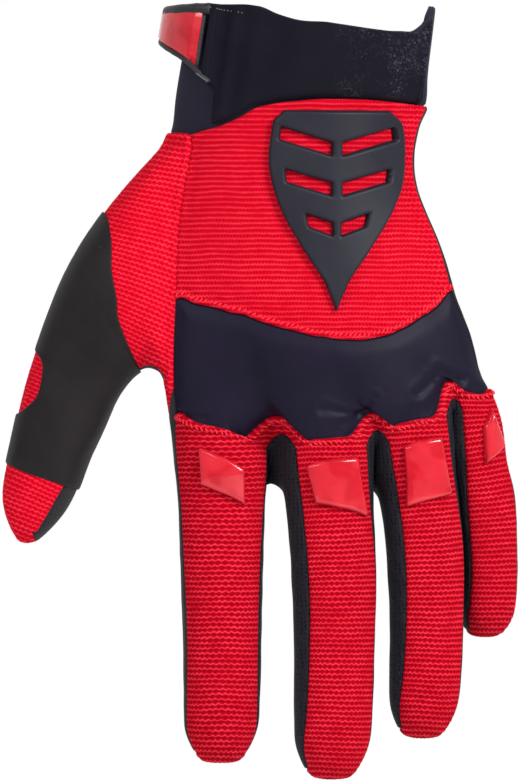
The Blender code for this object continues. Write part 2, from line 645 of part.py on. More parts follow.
class Skin:
    """The cage as numbers: points, outward normals and each panel's quads turned outwards."""

    def __init__(self, cage):
        self.keys = list(cage.points)
        self.index = {key: n for n, key in enumerate(self.keys)}
        self.points = np.array([cage.points[key] for key in self.keys])
        mesh = bmesh.new()
        verts = [mesh.verts.new(point) for point in self.points]
        faces = {}
        for panel, quad in cage.quads:
            face = mesh.faces.new([verts[self.index[key]] for key in quad])
            faces[face] = panel
        bmesh.ops.recalc_face_normals(mesh, faces=mesh.faces)
        mesh.normal_update()
        mesh.verts.index_update()
        front = min(mesh.faces, key=lambda face: face.calc_center_median().y)
        if front.normal.y > 0:
            bmesh.ops.reverse_faces(mesh, faces=mesh.faces)
            mesh.normal_update()
        self.normals = self.even_normals(mesh)
        self.panels = {}
        for face, panel in faces.items():
            self.panels.setdefault(panel, []).append([vert.index for vert in face.verts])
        self.surface = BVHTree.FromBMesh(mesh)
        mesh.free()

    def even_normals(self, mesh):
        """Outward directions at the points, evened out where the skin folds sharply."""
        normals = np.array([vert.normal for vert in mesh.verts])
        for _ in range(NORMAL_PASSES):
            around = np.array([np.mean([normals[edge.other_vert(vert).index]
                                        for edge in vert.link_edges], axis=0)
                               for vert in mesh.verts])
            normals = normals + around
            normals /= np.linalg.norm(normals, axis=1)[:, None]
        return normals

    def at(self, keys, across, down):
        """Point and outward normal on a grid of cage names, by place across and down."""
        i = max(0, min(len(keys[0]) - 2, int(math.floor(across))))
        j = max(0, min(len(keys) - 2, int(math.floor(down))))
        u, v = across - i, down - j
        corners = [self.index[key] for key in (keys[j][i], keys[j][i + 1], keys[j + 1][i],
                                               keys[j + 1][i + 1])]
        weights = np.array([(1 - u) * (1 - v), u * (1 - v), (1 - u) * v, u * v])
        point = Vector(weights @ self.points[corners])
        return point, Vector(weights @ self.normals[corners]).normalized()


def add_object(name, points, faces, finish):
    mesh = bpy.data.meshes.new(name)
    mesh.from_pydata([tuple(point) for point in points], [], faces)
    mesh.materials.append(finish)
    mesh.shade_smooth()
    mesh.set_sharp_from_angle(angle=math.radians(50))
    made = bpy.data.objects.new(name, mesh)
    bpy.context.scene.collection.objects.link(made)
    return made


def panel_solid(skin, name, wall, finish):
    """One sewn panel: its quads of the skin, drawn back from the seams and given a wall."""
    quads = skin.panels[name]
    directed = {(q[i], q[(i + 1) % 4]): q for q in quads for i in range(4)}
    border = {edge: q for edge, q in directed.items() if edge[::-1] not in directed}
    shifts = {}
    for (a, b), quad in border.items():
        centre = skin.points[quad].mean(axis=0)
        along = skin.points[b] - skin.points[a]
        along /= np.linalg.norm(along)
        inward = centre - skin.points[a]
        inward -= along * (inward @ along)
        inward /= np.linalg.norm(inward)
        for vert in (a, b):
            shifts.setdefault(vert, []).append(inward)
    used = sorted({vert for quad in quads for vert in quad})
    place = {vert: n for n, vert in enumerate(used)}
    outer = []
    for vert in used:
        point = skin.points[vert].copy()
        if vert in shifts:
            total = np.sum(shifts[vert], axis=0)
            total /= max(0.6, np.linalg.norm(total) ** 2 / len(shifts[vert]))
            point += total * SEAM_GAP * 0.6
        outer.append(point)
    inner = [point - skin.normals[vert] * wall for point, vert in zip(outer, used)]
    count = len(used)
    faces = [[place[v] for v in quad] for quad in quads]
    faces += [[place[v] + count for v in reversed(quad)] for quad in quads]
    for a, b in border:
        corners = [place[b], place[a], place[a] + count, place[b] + count]
        turn = 0 if a > b else 1
        corners = corners[turn:] + corners[:turn]
        faces += [[corners[0], corners[1], corners[2]], [corners[0], corners[2], corners[3]]]
    return add_object(name, outer + inner, faces, finish)


def slab(name, rows, normals, bottom, top, finish, bevel=0.0):
    """A raised piece: a grid of skin points lifted by bottom, with its upper face at top."""
    height, width = len(rows), len(rows[0])
    centre = sum((point for row in rows for point in row), Vector()) / (height * width)
    lower, upper = [], []
    for j, row in enumerate(rows):
        for i, point in enumerate(row):
            edge = i in (0, width - 1) or j in (0, height - 1)
            inset = (centre - point).normalized() * bevel if edge else Vector()
            lower.append(point + normals[j][i] * bottom)
            upper.append(point + normals[j][i] * top + inset)
    faces = []
    for j in range(height - 1):
        for i in range(width - 1):
            a = j * width + i
            faces.append([a, a + 1, a + width + 1, a + width])
    count = height * width
    directed = {(q[i], q[(i + 1) % 4]) for q in faces for i in range(4)}
    rim = [edge for edge in directed if edge[::-1] not in directed]
    faces += [[v + count for v in reversed(quad)] for quad in faces]
    faces += [[b, a, a + count, b + count] for a, b in rim]
    made = add_object(name, lower + upper, faces, finish)
    mesh = bmesh.new()
    mesh.from_mesh(made.data)
    bmesh.ops.recalc_face_normals(mesh, faces=mesh.faces)
    mesh.to_mesh(made.data)
    mesh.free()
    return made


def thumb_patch(skin, finish):
    """The worn-side patch: a grid between its first and last column at each of its rings."""
    names = []
    for ring in range(len(THUMB_RINGS) + 1):
        keys = thumb_keys(ring)
        names.append(keys[14:] + keys[:9])
    steps = 14
    rows, normals = [], []
    for a, b in zip(THUMB_PATCH, THUMB_PATCH[1:] + THUMB_PATCH[-1:]):
        for share in (0.0, 0.5) if a is not b else (0.0,):
            ring, first, last, tilt = (mix(a[key], b[key], share)
                                       for key in ("ring", "first", "last", "tilt"))
            line = [skin.at(names, mix(first, last, i / steps) + 2, ring + tilt * i / steps)
                    for i in range(steps + 1)]
            rows.append([point for point, _ in line])
            normals.append([normal for _, normal in line])
    return slab("thumb_overlay", rows, normals, PATCH_LIFT, PATCH_LIFT + PATCH_WALL, finish)


def strap_point(skin, names, place, height):
    rows = len(names) - 1
    heights = (0.0,) + CUFF_ROWS
    down = 0
    while down < rows - 1 and height > heights[down + 1]:
        down += 1
    share = (height - heights[down]) / (heights[down + 1] - heights[down])
    return skin.at(names, place, down + share)


def strap_value(value, place):
    """A measure of the strap at a place round the wrist, straight between the table's rows."""
    for left, right in zip(STRAP, STRAP[1:]):
        if right["place"] <= place:
            t = (left["place"] - place) / (left["place"] - right["place"])
            return mix(left[value], right[value], t)
    return STRAP[-1][value]


def strap_places(start, end):
    """Stations along the strap: its table's own places and even steps between them."""
    stops = [start] + [row["place"] for row in STRAP if end < row["place"] < start] + [end]
    places = [start]
    for a, b in zip(stops, stops[1:]):
        steps = max(1, round(a - b))
        places += [mix(a, b, (i + 1) / steps) for i in range(steps)]
    return places


def wrist_strap(skin, fabric, rubber):
    """The closure strap in two pieces: the band, and the moulded tab that ends it."""
    names = []
    for n in range(len(CUFF_ROWS) + 1):
        ring = wrist_ring(-n)
        names.append(ring[34:] + ring[:26])
    shift = 14
    spans = {"wrist_strap": (STRAP[0]["place"], TAB_START), "strap_tab": (TAB_START - 0.05, -12.0)}
    for name, (start, end) in spans.items():
        rows, normals = [], []
        for place in strap_places(start, end):
            low, high, off = (strap_value(value, place) for value in ("low", "high", "off"))
            line = [strap_point(skin, names, place + shift, mix(low, min(high, 0.995), j / 4))
                    for j in range(5)]
            rows.append([p + n * off * WRIST_WIDTH for p, n in line])
            normals.append([n for _, n in line])
        wall = STRAP_WALL if name == "wrist_strap" else TAB_WALL
        finish = fabric if name == "wrist_strap" else rubber
        slab(name, rows, normals, LIFT, LIFT + wall, finish)


def pad_place(name, across, down):
    """Turn and place along the finger, across and down a pad in shares of it."""
    upper, lower = PADS[name]["upper"], PADS[name]["lower"]
    return tuple(mix(mix(upper[0][i], upper[1][i], across), mix(lower[0][i], lower[1][i], across),
                     down) for i in (0, 1))


def knuckle_pads(fingers, finish):
    for finger in fingers:
        name = FINGER_NAMES[finger.number]
        rows, normals = [], []
        across, down = 5, 3
        for j in range(down + 1):
            row, row_normals = [], []
            for i in range(across + 1):
                angle, along = pad_place(name, i / across, j / down)
                row.append(finger.point(along, angle))
                row_normals.append(finger.normal(along, angle))
            rows.append(row)
            normals.append(row_normals)
        slab(f"knuckle_pad_{name}", rows, normals, LIFT, LIFT + PAD_HEIGHT, finish, bevel=0.0012)


def badge_half(down):
    return table_curve(BADGE_OUTLINE, "down", "half", down) * BADGE_WIDTH / 2


def badge(skin, finish):
    """A tapering plate with chevron slots, wrapped over the back of the hand."""
    top_z = CUFF_LEVEL - BADGE_TOP_DROP
    centre_x = BADGE_X * PALM_WIDTH
    levels, columns = 28, 12
    points, faces, index = [], [], {}

    def vert(i, j):
        if (i, j) not in index:
            down = j / levels
            x = centre_x + badge_half(down) * (2 * i / columns - 1)
            rise = BADGE_SLOT_RISE * abs(2 * i / columns - 1) * min(1.0, down / 0.15)
            z = top_z - (down - rise) * BADGE_LENGTH
            hit, normal, _, _ = skin.surface.ray_cast(Vector((x, -1.0, z)), Vector((0, 1, 0)))
            index[(i, j)] = len(points)
            points.append((hit, normal))
        return index[(i, j)]

    for j in range(levels):
        for i in range(columns):
            down = (j + 0.5) / levels
            side = abs(2 * (i + 0.5) / columns - 1)
            cut = any(abs(down - slot["down"]) < BADGE_SLOT_HEIGHT / 2
                      and BADGE_RIB_HALF < side < slot["half"] * 1.25 for slot in BADGE_SLOTS)
            if not cut:
                faces.append([vert(i, j), vert(i + 1, j), vert(i + 1, j + 1), vert(i, j + 1)])
    count = len(points)
    lower = [p + n * LIFT for p, n in points]
    upper = [p + n * (LIFT + BADGE_HEIGHT) for p, n in points]
    directed = {(q[i], q[(i + 1) % 4]) for q in faces for i in range(4)}
    rim = [edge for edge in directed if edge[::-1] not in directed]
    every = faces + [[v + count for v in reversed(quad)] for quad in faces]
    every += [[b, a, a + count, b + count] for a, b in rim]
    made = add_object("back_badge", lower + upper, every, finish)
    mesh = bmesh.new()
    mesh.from_mesh(made.data)
    bmesh.ops.recalc_face_normals(mesh, faces=mesh.faces)
    mesh.to_mesh(made.data)
    mesh.free()


def main():
    clear_scene()
    red_knit = material("red_knit", (0.72, 0.02, 0.035), 0.85)
    padded = material("padded_panel", (0.025, 0.024, 0.040), 0.55)
    leather = material("palm_leather", (0.022, 0.022, 0.026), 0.65)
    mesh_cloth = material("side_mesh", (0.020, 0.020, 0.030), 0.80)
    stretch = material("cuff_stretch", (0.028, 0.026, 0.045), 0.70)
    strap_cloth = material("strap_cloth", (0.018, 0.017, 0.026), 0.75)
    red_rubber = material("red_rubber", (0.78, 0.03, 0.05), 0.22)
    slate_rubber = material("slate_rubber", (0.045, 0.047, 0.062), 0.45)
    cage, fingers = build_cage()
    skin = Skin(cage)
    panel_solid(skin, "cuff", CUFF_WALL, stretch)
    panel_solid(skin, "back_panel", KNIT_WALL, red_knit)
    panel_solid(skin, "knuckle_panel", PADDED_WALL, padded)
    panel_solid(skin, "finger_backs", KNIT_WALL, red_knit)
    panel_solid(skin, "thumb_panel", KNIT_WALL, red_knit)
    panel_solid(skin, "palm", LEATHER_WALL, leather)
    panel_solid(skin, "thumb_palm", LEATHER_WALL, leather)
    for n in range(1, 4):
        panel_solid(skin, f"fourchette_{n}", MESH_WALL, mesh_cloth)
    thumb_patch(skin, leather)
    wrist_strap(skin, strap_cloth, red_rubber)
    knuckle_pads(fingers, red_rubber)
    badge(skin, slate_rubber)


main()
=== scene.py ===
"""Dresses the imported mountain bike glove: knit, leather, stretch cloth and moulded rubber.

The glove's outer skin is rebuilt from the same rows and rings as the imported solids, rounded
off, and each sewn panel is cut from it with its own seams, ribs, folds and thickness. Metres,
+Z up, the back of the hand faces -Y, the thumb is at -X, and the wrist opening is at z = 0.
"""

import math

import bpy
import numpy as np
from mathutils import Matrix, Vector
from mathutils.bvhtree import BVHTree
from mathutils.kdtree import KDTree


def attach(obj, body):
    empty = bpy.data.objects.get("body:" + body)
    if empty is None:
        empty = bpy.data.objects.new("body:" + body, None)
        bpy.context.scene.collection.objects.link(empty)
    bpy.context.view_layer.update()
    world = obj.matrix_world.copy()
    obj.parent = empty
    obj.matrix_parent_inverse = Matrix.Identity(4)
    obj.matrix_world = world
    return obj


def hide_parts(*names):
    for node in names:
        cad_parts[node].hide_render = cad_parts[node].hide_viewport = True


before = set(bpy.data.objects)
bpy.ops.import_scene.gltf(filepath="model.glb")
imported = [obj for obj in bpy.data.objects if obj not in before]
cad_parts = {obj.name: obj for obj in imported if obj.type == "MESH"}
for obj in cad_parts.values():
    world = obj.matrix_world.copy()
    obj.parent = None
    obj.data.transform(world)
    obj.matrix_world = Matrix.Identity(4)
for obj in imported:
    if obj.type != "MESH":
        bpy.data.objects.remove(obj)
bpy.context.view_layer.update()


def table(names, *rows):
    """Rows of values as records with these names."""
    return [dict(zip(names.split(), row)) for row in rows]


# Overall sizes of the hand of the glove
PALM_WIDTH = 0.094
PALM_DEPTH = 0.034
CUFF_LENGTH = 0.029
BACK_LENGTH = 0.061
KNUCKLE_LENGTH = 0.030
ROOT_BAND = 0.0085
PALM_DROP = 0.011
WRIST_WIDTH = 0.076
WEB_WIDTH = 0.009

# Wall of each fabric, and how far overlaid pieces lie over the skin and rise from it
KNIT_WALL = 0.0012
LEATHER_WALL = 0.0011
MESH_WALL = 0.0008
PADDED_WALL = 0.0019
CUFF_WALL = 0.0020
LIFT = 0.00055
STRAP_WALL = 0.0018
TAB_WALL = 0.0016
PAD_HEIGHT = 0.0022
BADGE_HEIGHT = 0.0018
BADGE_LENGTH = 0.060
BADGE_WIDTH = 0.040

# Levels of the row lines across the back of the hand
CUFF_LEVEL = -CUFF_LENGTH
HEM_LEVEL = CUFF_LEVEL - BACK_LENGTH
ZIGZAG_LEVEL = HEM_LEVEL - KNUCKLE_LENGTH
ROOT_LEVEL = ZIGZAG_LEVEL - ROOT_BAND

# Each finger: its own length, width and depth, then its root as shares of the palm's width and
# depth, and its lean and bow as shares of its length. Its curl and its roll follow, then how much
# wider it is at its root, and the root's shift as a share of the palm's width. The three pairs of
# its cover are the degrees that the knit reaches either side of the middle of its back: at the
# root, part way along and near the tip.
FINGER_NAMES = ["index", "middle", "ring", "little"]
FINGERS = dict(zip(FINGER_NAMES, table(
    "length width depth x y lean bow curl roll flare shift cover",
    (0.0960, 0.0246, 0.0215, -0.281, -0.09, 0.011, 0.010, 0.09, 1, 1.09, 0.013,
     ((80, 84), (64, 66), (66, 68))),
    (0.1004, 0.0253, 0.0220, 0.080, -0.15, 0.004, 0.010, 0.10, 15, 1.07, -0.009,
     ((56, 42), (48, 66), (57, 60))),
    (0.0936, 0.0232, 0.0208, 0.345, -0.03, 0.030, 0.026, 0.13, 16, 1.00, 0.000,
     ((52, 38), (44, 68), (54, 56))),
    (0.0663, 0.0190, 0.0185, 0.527, 0.20, 0.072, 0.036, 0.17, 24, 0.95, 0.000,
     ((38, 54), (58, 50), (58, 52))))))

# Sections along a finger, from its root: place along it, width and depth, each as a share
FINGER_SECTIONS = table("along width depth",
    (0.00, 1.05, 1.04), (0.12, 1.00, 1.00), (0.24, 1.00, 0.98), (0.36, 1.01, 1.00),
    (0.48, 0.99, 1.00), (0.60, 0.96, 0.96), (0.72, 0.95, 0.95), (0.83, 0.92, 0.91),
    (0.905, 0.85, 0.80), (0.965, 0.62, 0.54))
FINGER_ROUNDNESS = 2.3
FINGER_UNDER_TURN = 56
ROOT_SLANT_REACH = 0.35
# Degrees by which the knit covers more of each side at the last sections, towards the tip
COVER_SPREAD = {7: 4, 8: 12, 9: 26}
# Places along a finger of the second and third pair of its cover, and how far its flare reaches
COVER_STOPS = (0.42, 0.90)
FLARE_REACH = 0.40

# Lines across the back of the hand. Each value is the drop below the line's level, as a share of
# the palm's width, at the left, middle and right of each finger's column and at the web after it,
# from the index finger to the little one. The last line is how far the rows above the fingers
# lie to the right of the even columns instead.
LINES = {
    "cuff_edge": (0.059, 0.036, 0.003, -0.014, -0.028, -0.044, -0.052, -0.054,
                  -0.055, -0.055, -0.053, -0.051, -0.049, -0.043, -0.034),
    "hem": (-0.068, -0.046, -0.022, -0.013, -0.002, 0.029, 0.053, 0.058,
            0.063, 0.067, 0.049, 0.037, 0.019, -0.027, -0.096),
    "zigzag": (-0.022, 0.020, 0.066, -0.021, 0.066, 0.060, 0.044, -0.031,
               0.024, 0.006, -0.022, -0.124, -0.100, -0.086, -0.099),
    "root": (-0.030, 0.010, 0.002, -0.042, -0.003, 0.006, -0.013, -0.053,
             -0.019, -0.040, -0.112, -0.155, -0.121, -0.090, -0.077),
    "palm_root": (0.010, 0.030, 0.022, 0.000, 0.020, 0.036, 0.030, 0.010,
                  0.024, 0.010, -0.030, -0.060, -0.045, -0.030, -0.040),
    "sideways": (0.008, 0.000, -0.026, 0.032, 0.078, 0.036, 0.016, 0.036,
                 0.066, 0.024, 0.026, 0.020, 0.040, 0.018, -0.004),
}

# Rows between the cuff and the finger roots: the two lines each lies between and how far along,
# then the seam, edge and palm corner places as shares of the palm's width, and the back's top,
# its drops to either side and the palm's bottom as shares of the palm's depth
PALM_ROWS = table("lines seam edge side top seam_drop edge_drop palm heel",
    (("cuff_edge", "hem", 0.00), -0.355, 0.374, 0.381, -0.66, 0.28, 0.50, 0.62, 0.00),
    (("cuff_edge", "hem", 0.25), -0.378, 0.337, 0.343, -0.65, 0.22, 0.46, 0.62, 0.02),
    (("cuff_edge", "hem", 0.50), -0.399, 0.358, 0.364, -0.63, 0.18, 0.44, 0.60, 0.06),
    (("cuff_edge", "hem", 0.75), -0.408, 0.422, 0.431, -0.61, 0.17, 0.45, 0.54, 0.05),
    (("hem", "zigzag", 0.00), -0.412, 0.471, 0.486, -0.59, 0.16, 0.46, 0.49, 0.02),
    (("hem", "zigzag", 0.42), -0.424, 0.518, 0.535, -0.57, 0.15, 0.50, 0.46, 0.00),
    (("hem", "zigzag", 0.80), -0.432, 0.540, 0.554, -0.53, 0.14, 0.55, 0.45, 0.00),
    (("zigzag", "root", 0.00), -0.430, 0.543, 0.566, -0.50, 0.14, 0.60, 0.42, 0.00))
LAST_ROW = len(PALM_ROWS)
CROTCH_ROW = 6
# Rows where the hem and the zigzag edge lie, and where the back's arch is highest and how fast
# it falls towards the little finger
HEM_ROW = 4
ZIGZAG_ROW = 7
ARCH_PEAK = 0.40
ARCH_POWER = 2.6
# The palm's corners: how far they round up as a share of its depth, then how far inside the seam
# and the edge they lie; then how far the sides reach out, at the cuff's thumb side and elsewhere
PALM_ROUNDING = 0.24
SEAM_TUCK = 0.035
EDGE_TUCK = 0.005
THUMB_SIDE_REACH = 0.084
SIDE_REACH = 0.012
# How far the web between two fingers sinks in from the back and from the palm, as shares of the
# palm's depth, and how far down its middle lies
WEB_SINK = dict(back=0.06, palm=-0.04)
WEB_MIDDLE = 0.45
# Share of a tip's length that is left at its sides
TIP_SHOULDER = 0.42
# How much each row below the hem already takes the lumps and hollows of the finger roots
KNUCKLE_LUMP = {5: 0.10, 6: 0.25, 7: 0.60}
SIDEWAYS_SHARE = {5: 0.30, 6: 0.65, 7: 1.00}

# Cuff rows above the cuff edge, and the rim's height at numbered points round the wrist, as
# shares of the cuff's length
CUFF_ROWS = (0.25, 0.55, 0.85, 1.0)
RIM = [(0, 0.14), (3, 0.14), (9, -0.03), (18, -0.13), (20, -0.13), (23, 0.14), (26, -0.20),
       (42, -0.20), (46, 0.06), (48, 0.14)]
CUFF_SHIFT = 0.155
CUFF_TAPER = 0.965

# Thumb rings from the seam outwards. Outer and inner edges as shares of the palm's width to the
# side and of it below the cuff edge; the middle's setback and the half depth as shares of the
# palm's depth; and the turn of the leather's seam on the inner side
THUMB_RINGS = table("outer inner set depth inner_turn",
    ((-0.495, 0.137), (-0.452, 0.840), -0.04, 0.46, 72),
    ((-0.596, 0.249), (-0.473, 0.812), 0.00, 0.48, 74),
    ((-0.690, 0.374), (-0.502, 0.802), 0.04, 0.47, 76),
    ((-0.757, 0.489), (-0.536, 0.816), 0.09, 0.44, 76),
    ((-0.808, 0.604), (-0.571, 0.851), 0.14, 0.40, 74),
    ((-0.850, 0.719), (-0.604, 0.900), 0.18, 0.37, 70),
    ((-0.885, 0.824), (-0.632, 0.962), 0.22, 0.355, 66),
    ((-0.912, 0.926), (-0.661, 1.029), 0.26, 0.350, 60),
    ((-0.935, 1.027), (-0.692, 1.097), 0.30, 0.340, 48),
    ((-0.956, 1.120), (-0.719, 1.173), 0.33, 0.320, 38),
    ((-0.968, 1.198), (-0.745, 1.230), 0.36, 0.285, 30),
    ((-0.960, 1.268), (-0.778, 1.281), 0.38, 0.235, 25),
    ((-0.935, 1.328), (-0.826, 1.330), 0.40, 0.160, 22))
THUMB_OUTER_TURN = 58
THUMB_UNDER_TURN = 58
THUMB_BLEND = (0.55, 0.15)
# The thumb's tip: how far it leans to the palm as a share of its depth, and how far it reaches
# beyond the last ring as a share of that ring's width
THUMB_TIP = (0.02, 0.33)

# Patch over the thumb: for each ring that it covers, its first and last column round the thumb,
# and how many rings further down its last column lies
THUMB_PATCH = table("ring first last tilt",
    (2.41, -0.35, 0.25, 0.0), (2.52, -0.90, 1.1, 0.0), (2.78, -1.0, 1.8, 0.0),
    (3.0, -1.0, 2.5, 0.0), (3.35, -1.0, 3.1, 0.0), (3.6, -1.0, 4.6, 0.0), (3.9, -1.0, 7.0, 0.0),
    (5.0, -1.0, 7.0, 0.0), (6.1, -1.0, 7.0, 0.0), (6.4, 0.4, 7.0, 0.0), (6.8, 0.9, 7.0, 0.0),
    (7.5, 1.0, 7.0, 0.0), (8.0, 0.1, 7.0, 0.1), (8.35, -0.9, 7.0, 0.2), (9.0, -1.0, 7.0, 0.3),
    (9.8, -1.0, 6.8, 0.5))

# Wrist strap, from its sewn end on the little-finger side round the back to its tab: place
# round the wrist in columns, lower and upper edges as shares of the cuff's height, and its
# standing off the cuff as a share of the wrist's width
STRAP = table("place low high off",
    (21.5, 0.02, 0.99, 0.000), (21.0, 0.02, 0.99, 0.000), (15.0, 0.02, 0.99, 0.002),
    (9.0, 0.02, 0.99, 0.004), (5.0, 0.02, 0.99, 0.006), (2.6, 0.02, 1.00, 0.012),
    (1.9, 0.02, 1.00, 0.014), (1.7, 0.32, 1.00, 0.016), (1.0, 0.38, 1.00, 0.026),
    (0.5, 0.44, 1.00, 0.042), (0.0, 0.54, 1.00, 0.058), (-1.0, 0.72, 1.00, 0.075),
    (-2.0, 0.72, 0.99, 0.050), (-5.0, 0.62, 0.97, 0.012), (-9.0, 0.58, 0.95, 0.000),
    (-12.0, 0.60, 0.92, 0.000))

# Knuckle pads: each corner's turn in degrees and its place along the finger as a share of its
# length: left and right on the upper edge, then on the lower
PADS = dict(index=((-25, 0.010), (26, 0.066), (-24, 0.126), (27, 0.182)),
            middle=((-38, 0.045), (21, 0.030), (-30, 0.164), (35, 0.207)),
            ring=((-27, 0.030), (20, 0.040), (-34, 0.240), (30, 0.218)),
            little=((-3, 0.045), (13, -0.050), (-10, 0.215), (31, 0.110)))

# Badge on the back of the hand: half widths down its length, and its chevron slots, as shares
BADGE_OUTLINE = table("down half",
    (0.00, 0.78), (0.16, 0.94), (0.38, 1.00), (0.60, 0.82), (0.80, 0.48), (1.00, 0.12))
BADGE_SLOTS = [(0.20, 0.68), (0.40, 0.60), (0.60, 0.42)]
BADGE_SLOT_REACH = 1.25
BADGE_SLOT_HEIGHT = 0.055
BADGE_SLOT_RISE = 0.10
BADGE_RIB_HALF = 0.07
BADGE_X = 0.098
BADGE_TOP_DROP = -0.0015

TAB_START = 0.35
COLUMNS = 22
FINGER_STEPS = 4
WEB_STEPS = 2


def mix(a, b, t):
    return a + (b - a) * t


def clamp(value, low=0.0, high=1.0):
    return max(low, min(high, value))


def oval(angle_deg, roundness):
    """A point of a rounded oval of half width and half depth 1: angle 0 is the back of the hand."""
    angle = math.radians(angle_deg)
    power = 2.0 / roundness
    s, c = math.sin(angle), math.cos(angle)
    return math.copysign(abs(s) ** power, s), -math.copysign(abs(c) ** power, c)


def table_curve(rows, key, value, place):
    """value at place, read from a table by a smooth curve through its rows."""
    places, values = ([row[name] for row in rows] for name in (key, value))
    last = len(rows) - 1
    i = 0
    while i < last - 1 and place > places[i + 1]:
        i += 1
    t = clamp((place - places[i]) / (places[i + 1] - places[i]))
    p0, p1, p2, p3 = (values[clamp(i + n, 0, last)] for n in (-1, 0, 1, 2))
    return 0.5 * (2 * p1 + (p2 - p0) * t + (2 * p0 - 5 * p1 + 4 * p2 - p3) * t ** 2
                  + (3 * p1 - p0 - 3 * p2 + p3) * t ** 3)


def line_drops(line):
    """The drop of a line below its level at each column across the hand."""
    row, drops = LINES[line], []
    for n in range(0, len(row), 4):
        left, middle, right = row[n:n + 3]
        drops += [left, mix(left, middle, 0.55), middle, mix(middle, right, 0.45), right]
        drops += row[n + 3:n + 4]
    return [drop * PALM_WIDTH for drop in drops]


LINE_LEVELS = {"cuff_edge": CUFF_LEVEL, "hem": HEM_LEVEL, "zigzag": ZIGZAG_LEVEL,
               "root": ROOT_LEVEL, "palm_root": ROOT_LEVEL - PALM_DROP}


def line_heights(line):
    return [LINE_LEVELS[line] - drop for drop in line_drops(line)]


def first_column(finger_number):
    return finger_number * (FINGER_STEPS + WEB_STEPS)


def column_shares():
    """Place of each column across the back of the hand, from 0 at the thumb's seam to 1."""
    widths = []
    for n, finger in enumerate(FINGER_NAMES):
        widths += [FINGERS[finger]["width"] / FINGER_STEPS] * FINGER_STEPS
        if n < 3:
            widths += [WEB_WIDTH / WEB_STEPS] * WEB_STEPS
    total = sum(widths)
    return [sum(widths[:i]) / total for i in range(len(widths) + 1)]


def ring_turns(left, right, under_right, under_left, steps):
    """Turns of a ring's points: over the back, the far side, under the palm, the near side."""
    back = [mix(left, right, i / steps) for i in range(steps + 1)]
    low, high = 180 - under_right, 180 + under_left
    palm = [mix(low, high, i / steps) for i in range(steps + 1)]
    return back + [(right + low) / 2] + palm + [(high + 360 + left) / 2]


class Finger:
    """The shape of one finger of the glove: a bowed and curled tube of oval sections."""

    def __init__(self, name):
        self.size = FINGERS[name]
        self.number = FINGER_NAMES.index(name)
        self.column = first_column(self.number)
        root, palm_root = ([line_heights(line)[self.column + i] for i in (0, FINGER_STEPS)]
                           for line in ("root", "palm_root"))
        self.root_z = sum(root) / 2
        self.slant = (root[1] - root[0]) / 2
        self.tilt = (sum(palm_root) / 2 - self.root_z) / 2

    def centre(self, along):
        size = self.size
        x = size["x"] * PALM_WIDTH
        x += size["length"] * (size["lean"] * along + size["bow"] * math.sin(math.pi * along))
        x += size["shift"] * PALM_WIDTH * clamp(1.0 - along / FLARE_REACH)
        y = size["y"] * PALM_DEPTH + size["length"] * size["curl"] * along ** 2
        return Vector((x, y, self.root_z - size["length"] * along))

    def angles(self, station=0):
        """Turn of each of a ring's 12 points, from the left of the knit, over the back."""
        along = FINGER_SECTIONS[station]["along"]
        near = min(1.0, along / COVER_STOPS[0])
        far = clamp((along - COVER_STOPS[0]) / (COVER_STOPS[1] - COVER_STOPS[0]))
        left, right = (mix(mix(root, middle, near), tip, far) + COVER_SPREAD.get(station, 0)
                       for root, middle, tip in zip(*self.size["cover"]))
        return ring_turns(-left, right, FINGER_UNDER_TURN, FINGER_UNDER_TURN, FINGER_STEPS)

    def point(self, along, angle):
        size = self.size
        width, depth = (table_curve(FINGER_SECTIONS, "along", way, along) * size[way] / 2
                        for way in ("width", "depth"))
        width *= mix(size["flare"], 1.0, clamp(along / FLARE_REACH))
        across, inward = oval(angle, FINGER_ROUNDNESS)
        roll = math.radians(size["roll"])
        x, y = across * width, inward * depth
        point = self.centre(along)
        point.x += x * math.cos(roll) - y * math.sin(roll)
        point.y += x * math.sin(roll) + y * math.cos(roll)
        fade = max(0.0, 1.0 - along / ROOT_SLANT_REACH)
        point.z += fade * (self.slant * across + self.tilt * (1.0 + inward))
        return point

    def normal(self, along, angle):
        """Outward direction at a point of the finger's side."""
        tangent = self.point(along, angle + 0.5) - self.point(along, angle - 0.5)
        down = self.point(along + 0.01, angle) - self.point(along - 0.01, angle)
        out = down.cross(tangent).normalized()
        return out if out.dot(self.point(along, angle) - self.centre(along)) > 0 else -out


class Cage:
    """Named points and the quads between them, each quad on one panel."""

    def __init__(self):
        self.points = {}
        self.quads = []

    def quad(self, panel, *keys):
        self.quads.append((panel, keys))

    def grid(self, panel, rows):
        for upper, lower in zip(rows, rows[1:]):
            for i in range(len(upper) - 1):
                self.quad(panel, upper[i], upper[i + 1], lower[i + 1], lower[i])

    def tube(self, panels, upper, lower):
        """Joins two closed rings of names, one panel for each side."""
        for m, panel in enumerate(panels):
            after = (m + 1) % len(panels)
            self.quad(panel, upper[m], upper[after], lower[after], lower[m])


def line_keys(side, row, first, last):
    """Cage names along a row on one side of the hand, from one column to another."""
    step = 1 if last > first else -1
    return [(side, row, i) for i in range(first, last + step, step)]


def root_keys(finger):
    """Cage names of the ring where a finger leaves the palm, in the order of its angles."""
    n, first, last = finger.number, finger.column, finger.column + FINGER_STEPS
    right = ("right", LAST_ROW) if n == 3 else ("side", n, "right")
    left = ("left", LAST_ROW) if n == 0 else ("side", n, "left")
    return (line_keys("back", LAST_ROW, first, last) + [right]
            + line_keys("palm", LAST_ROW, last, first) + [left])


def ring_keys(finger, station):
    if station == 0:
        return root_keys(finger)
    return [("finger", finger.number, station, j) for j in range(12)]


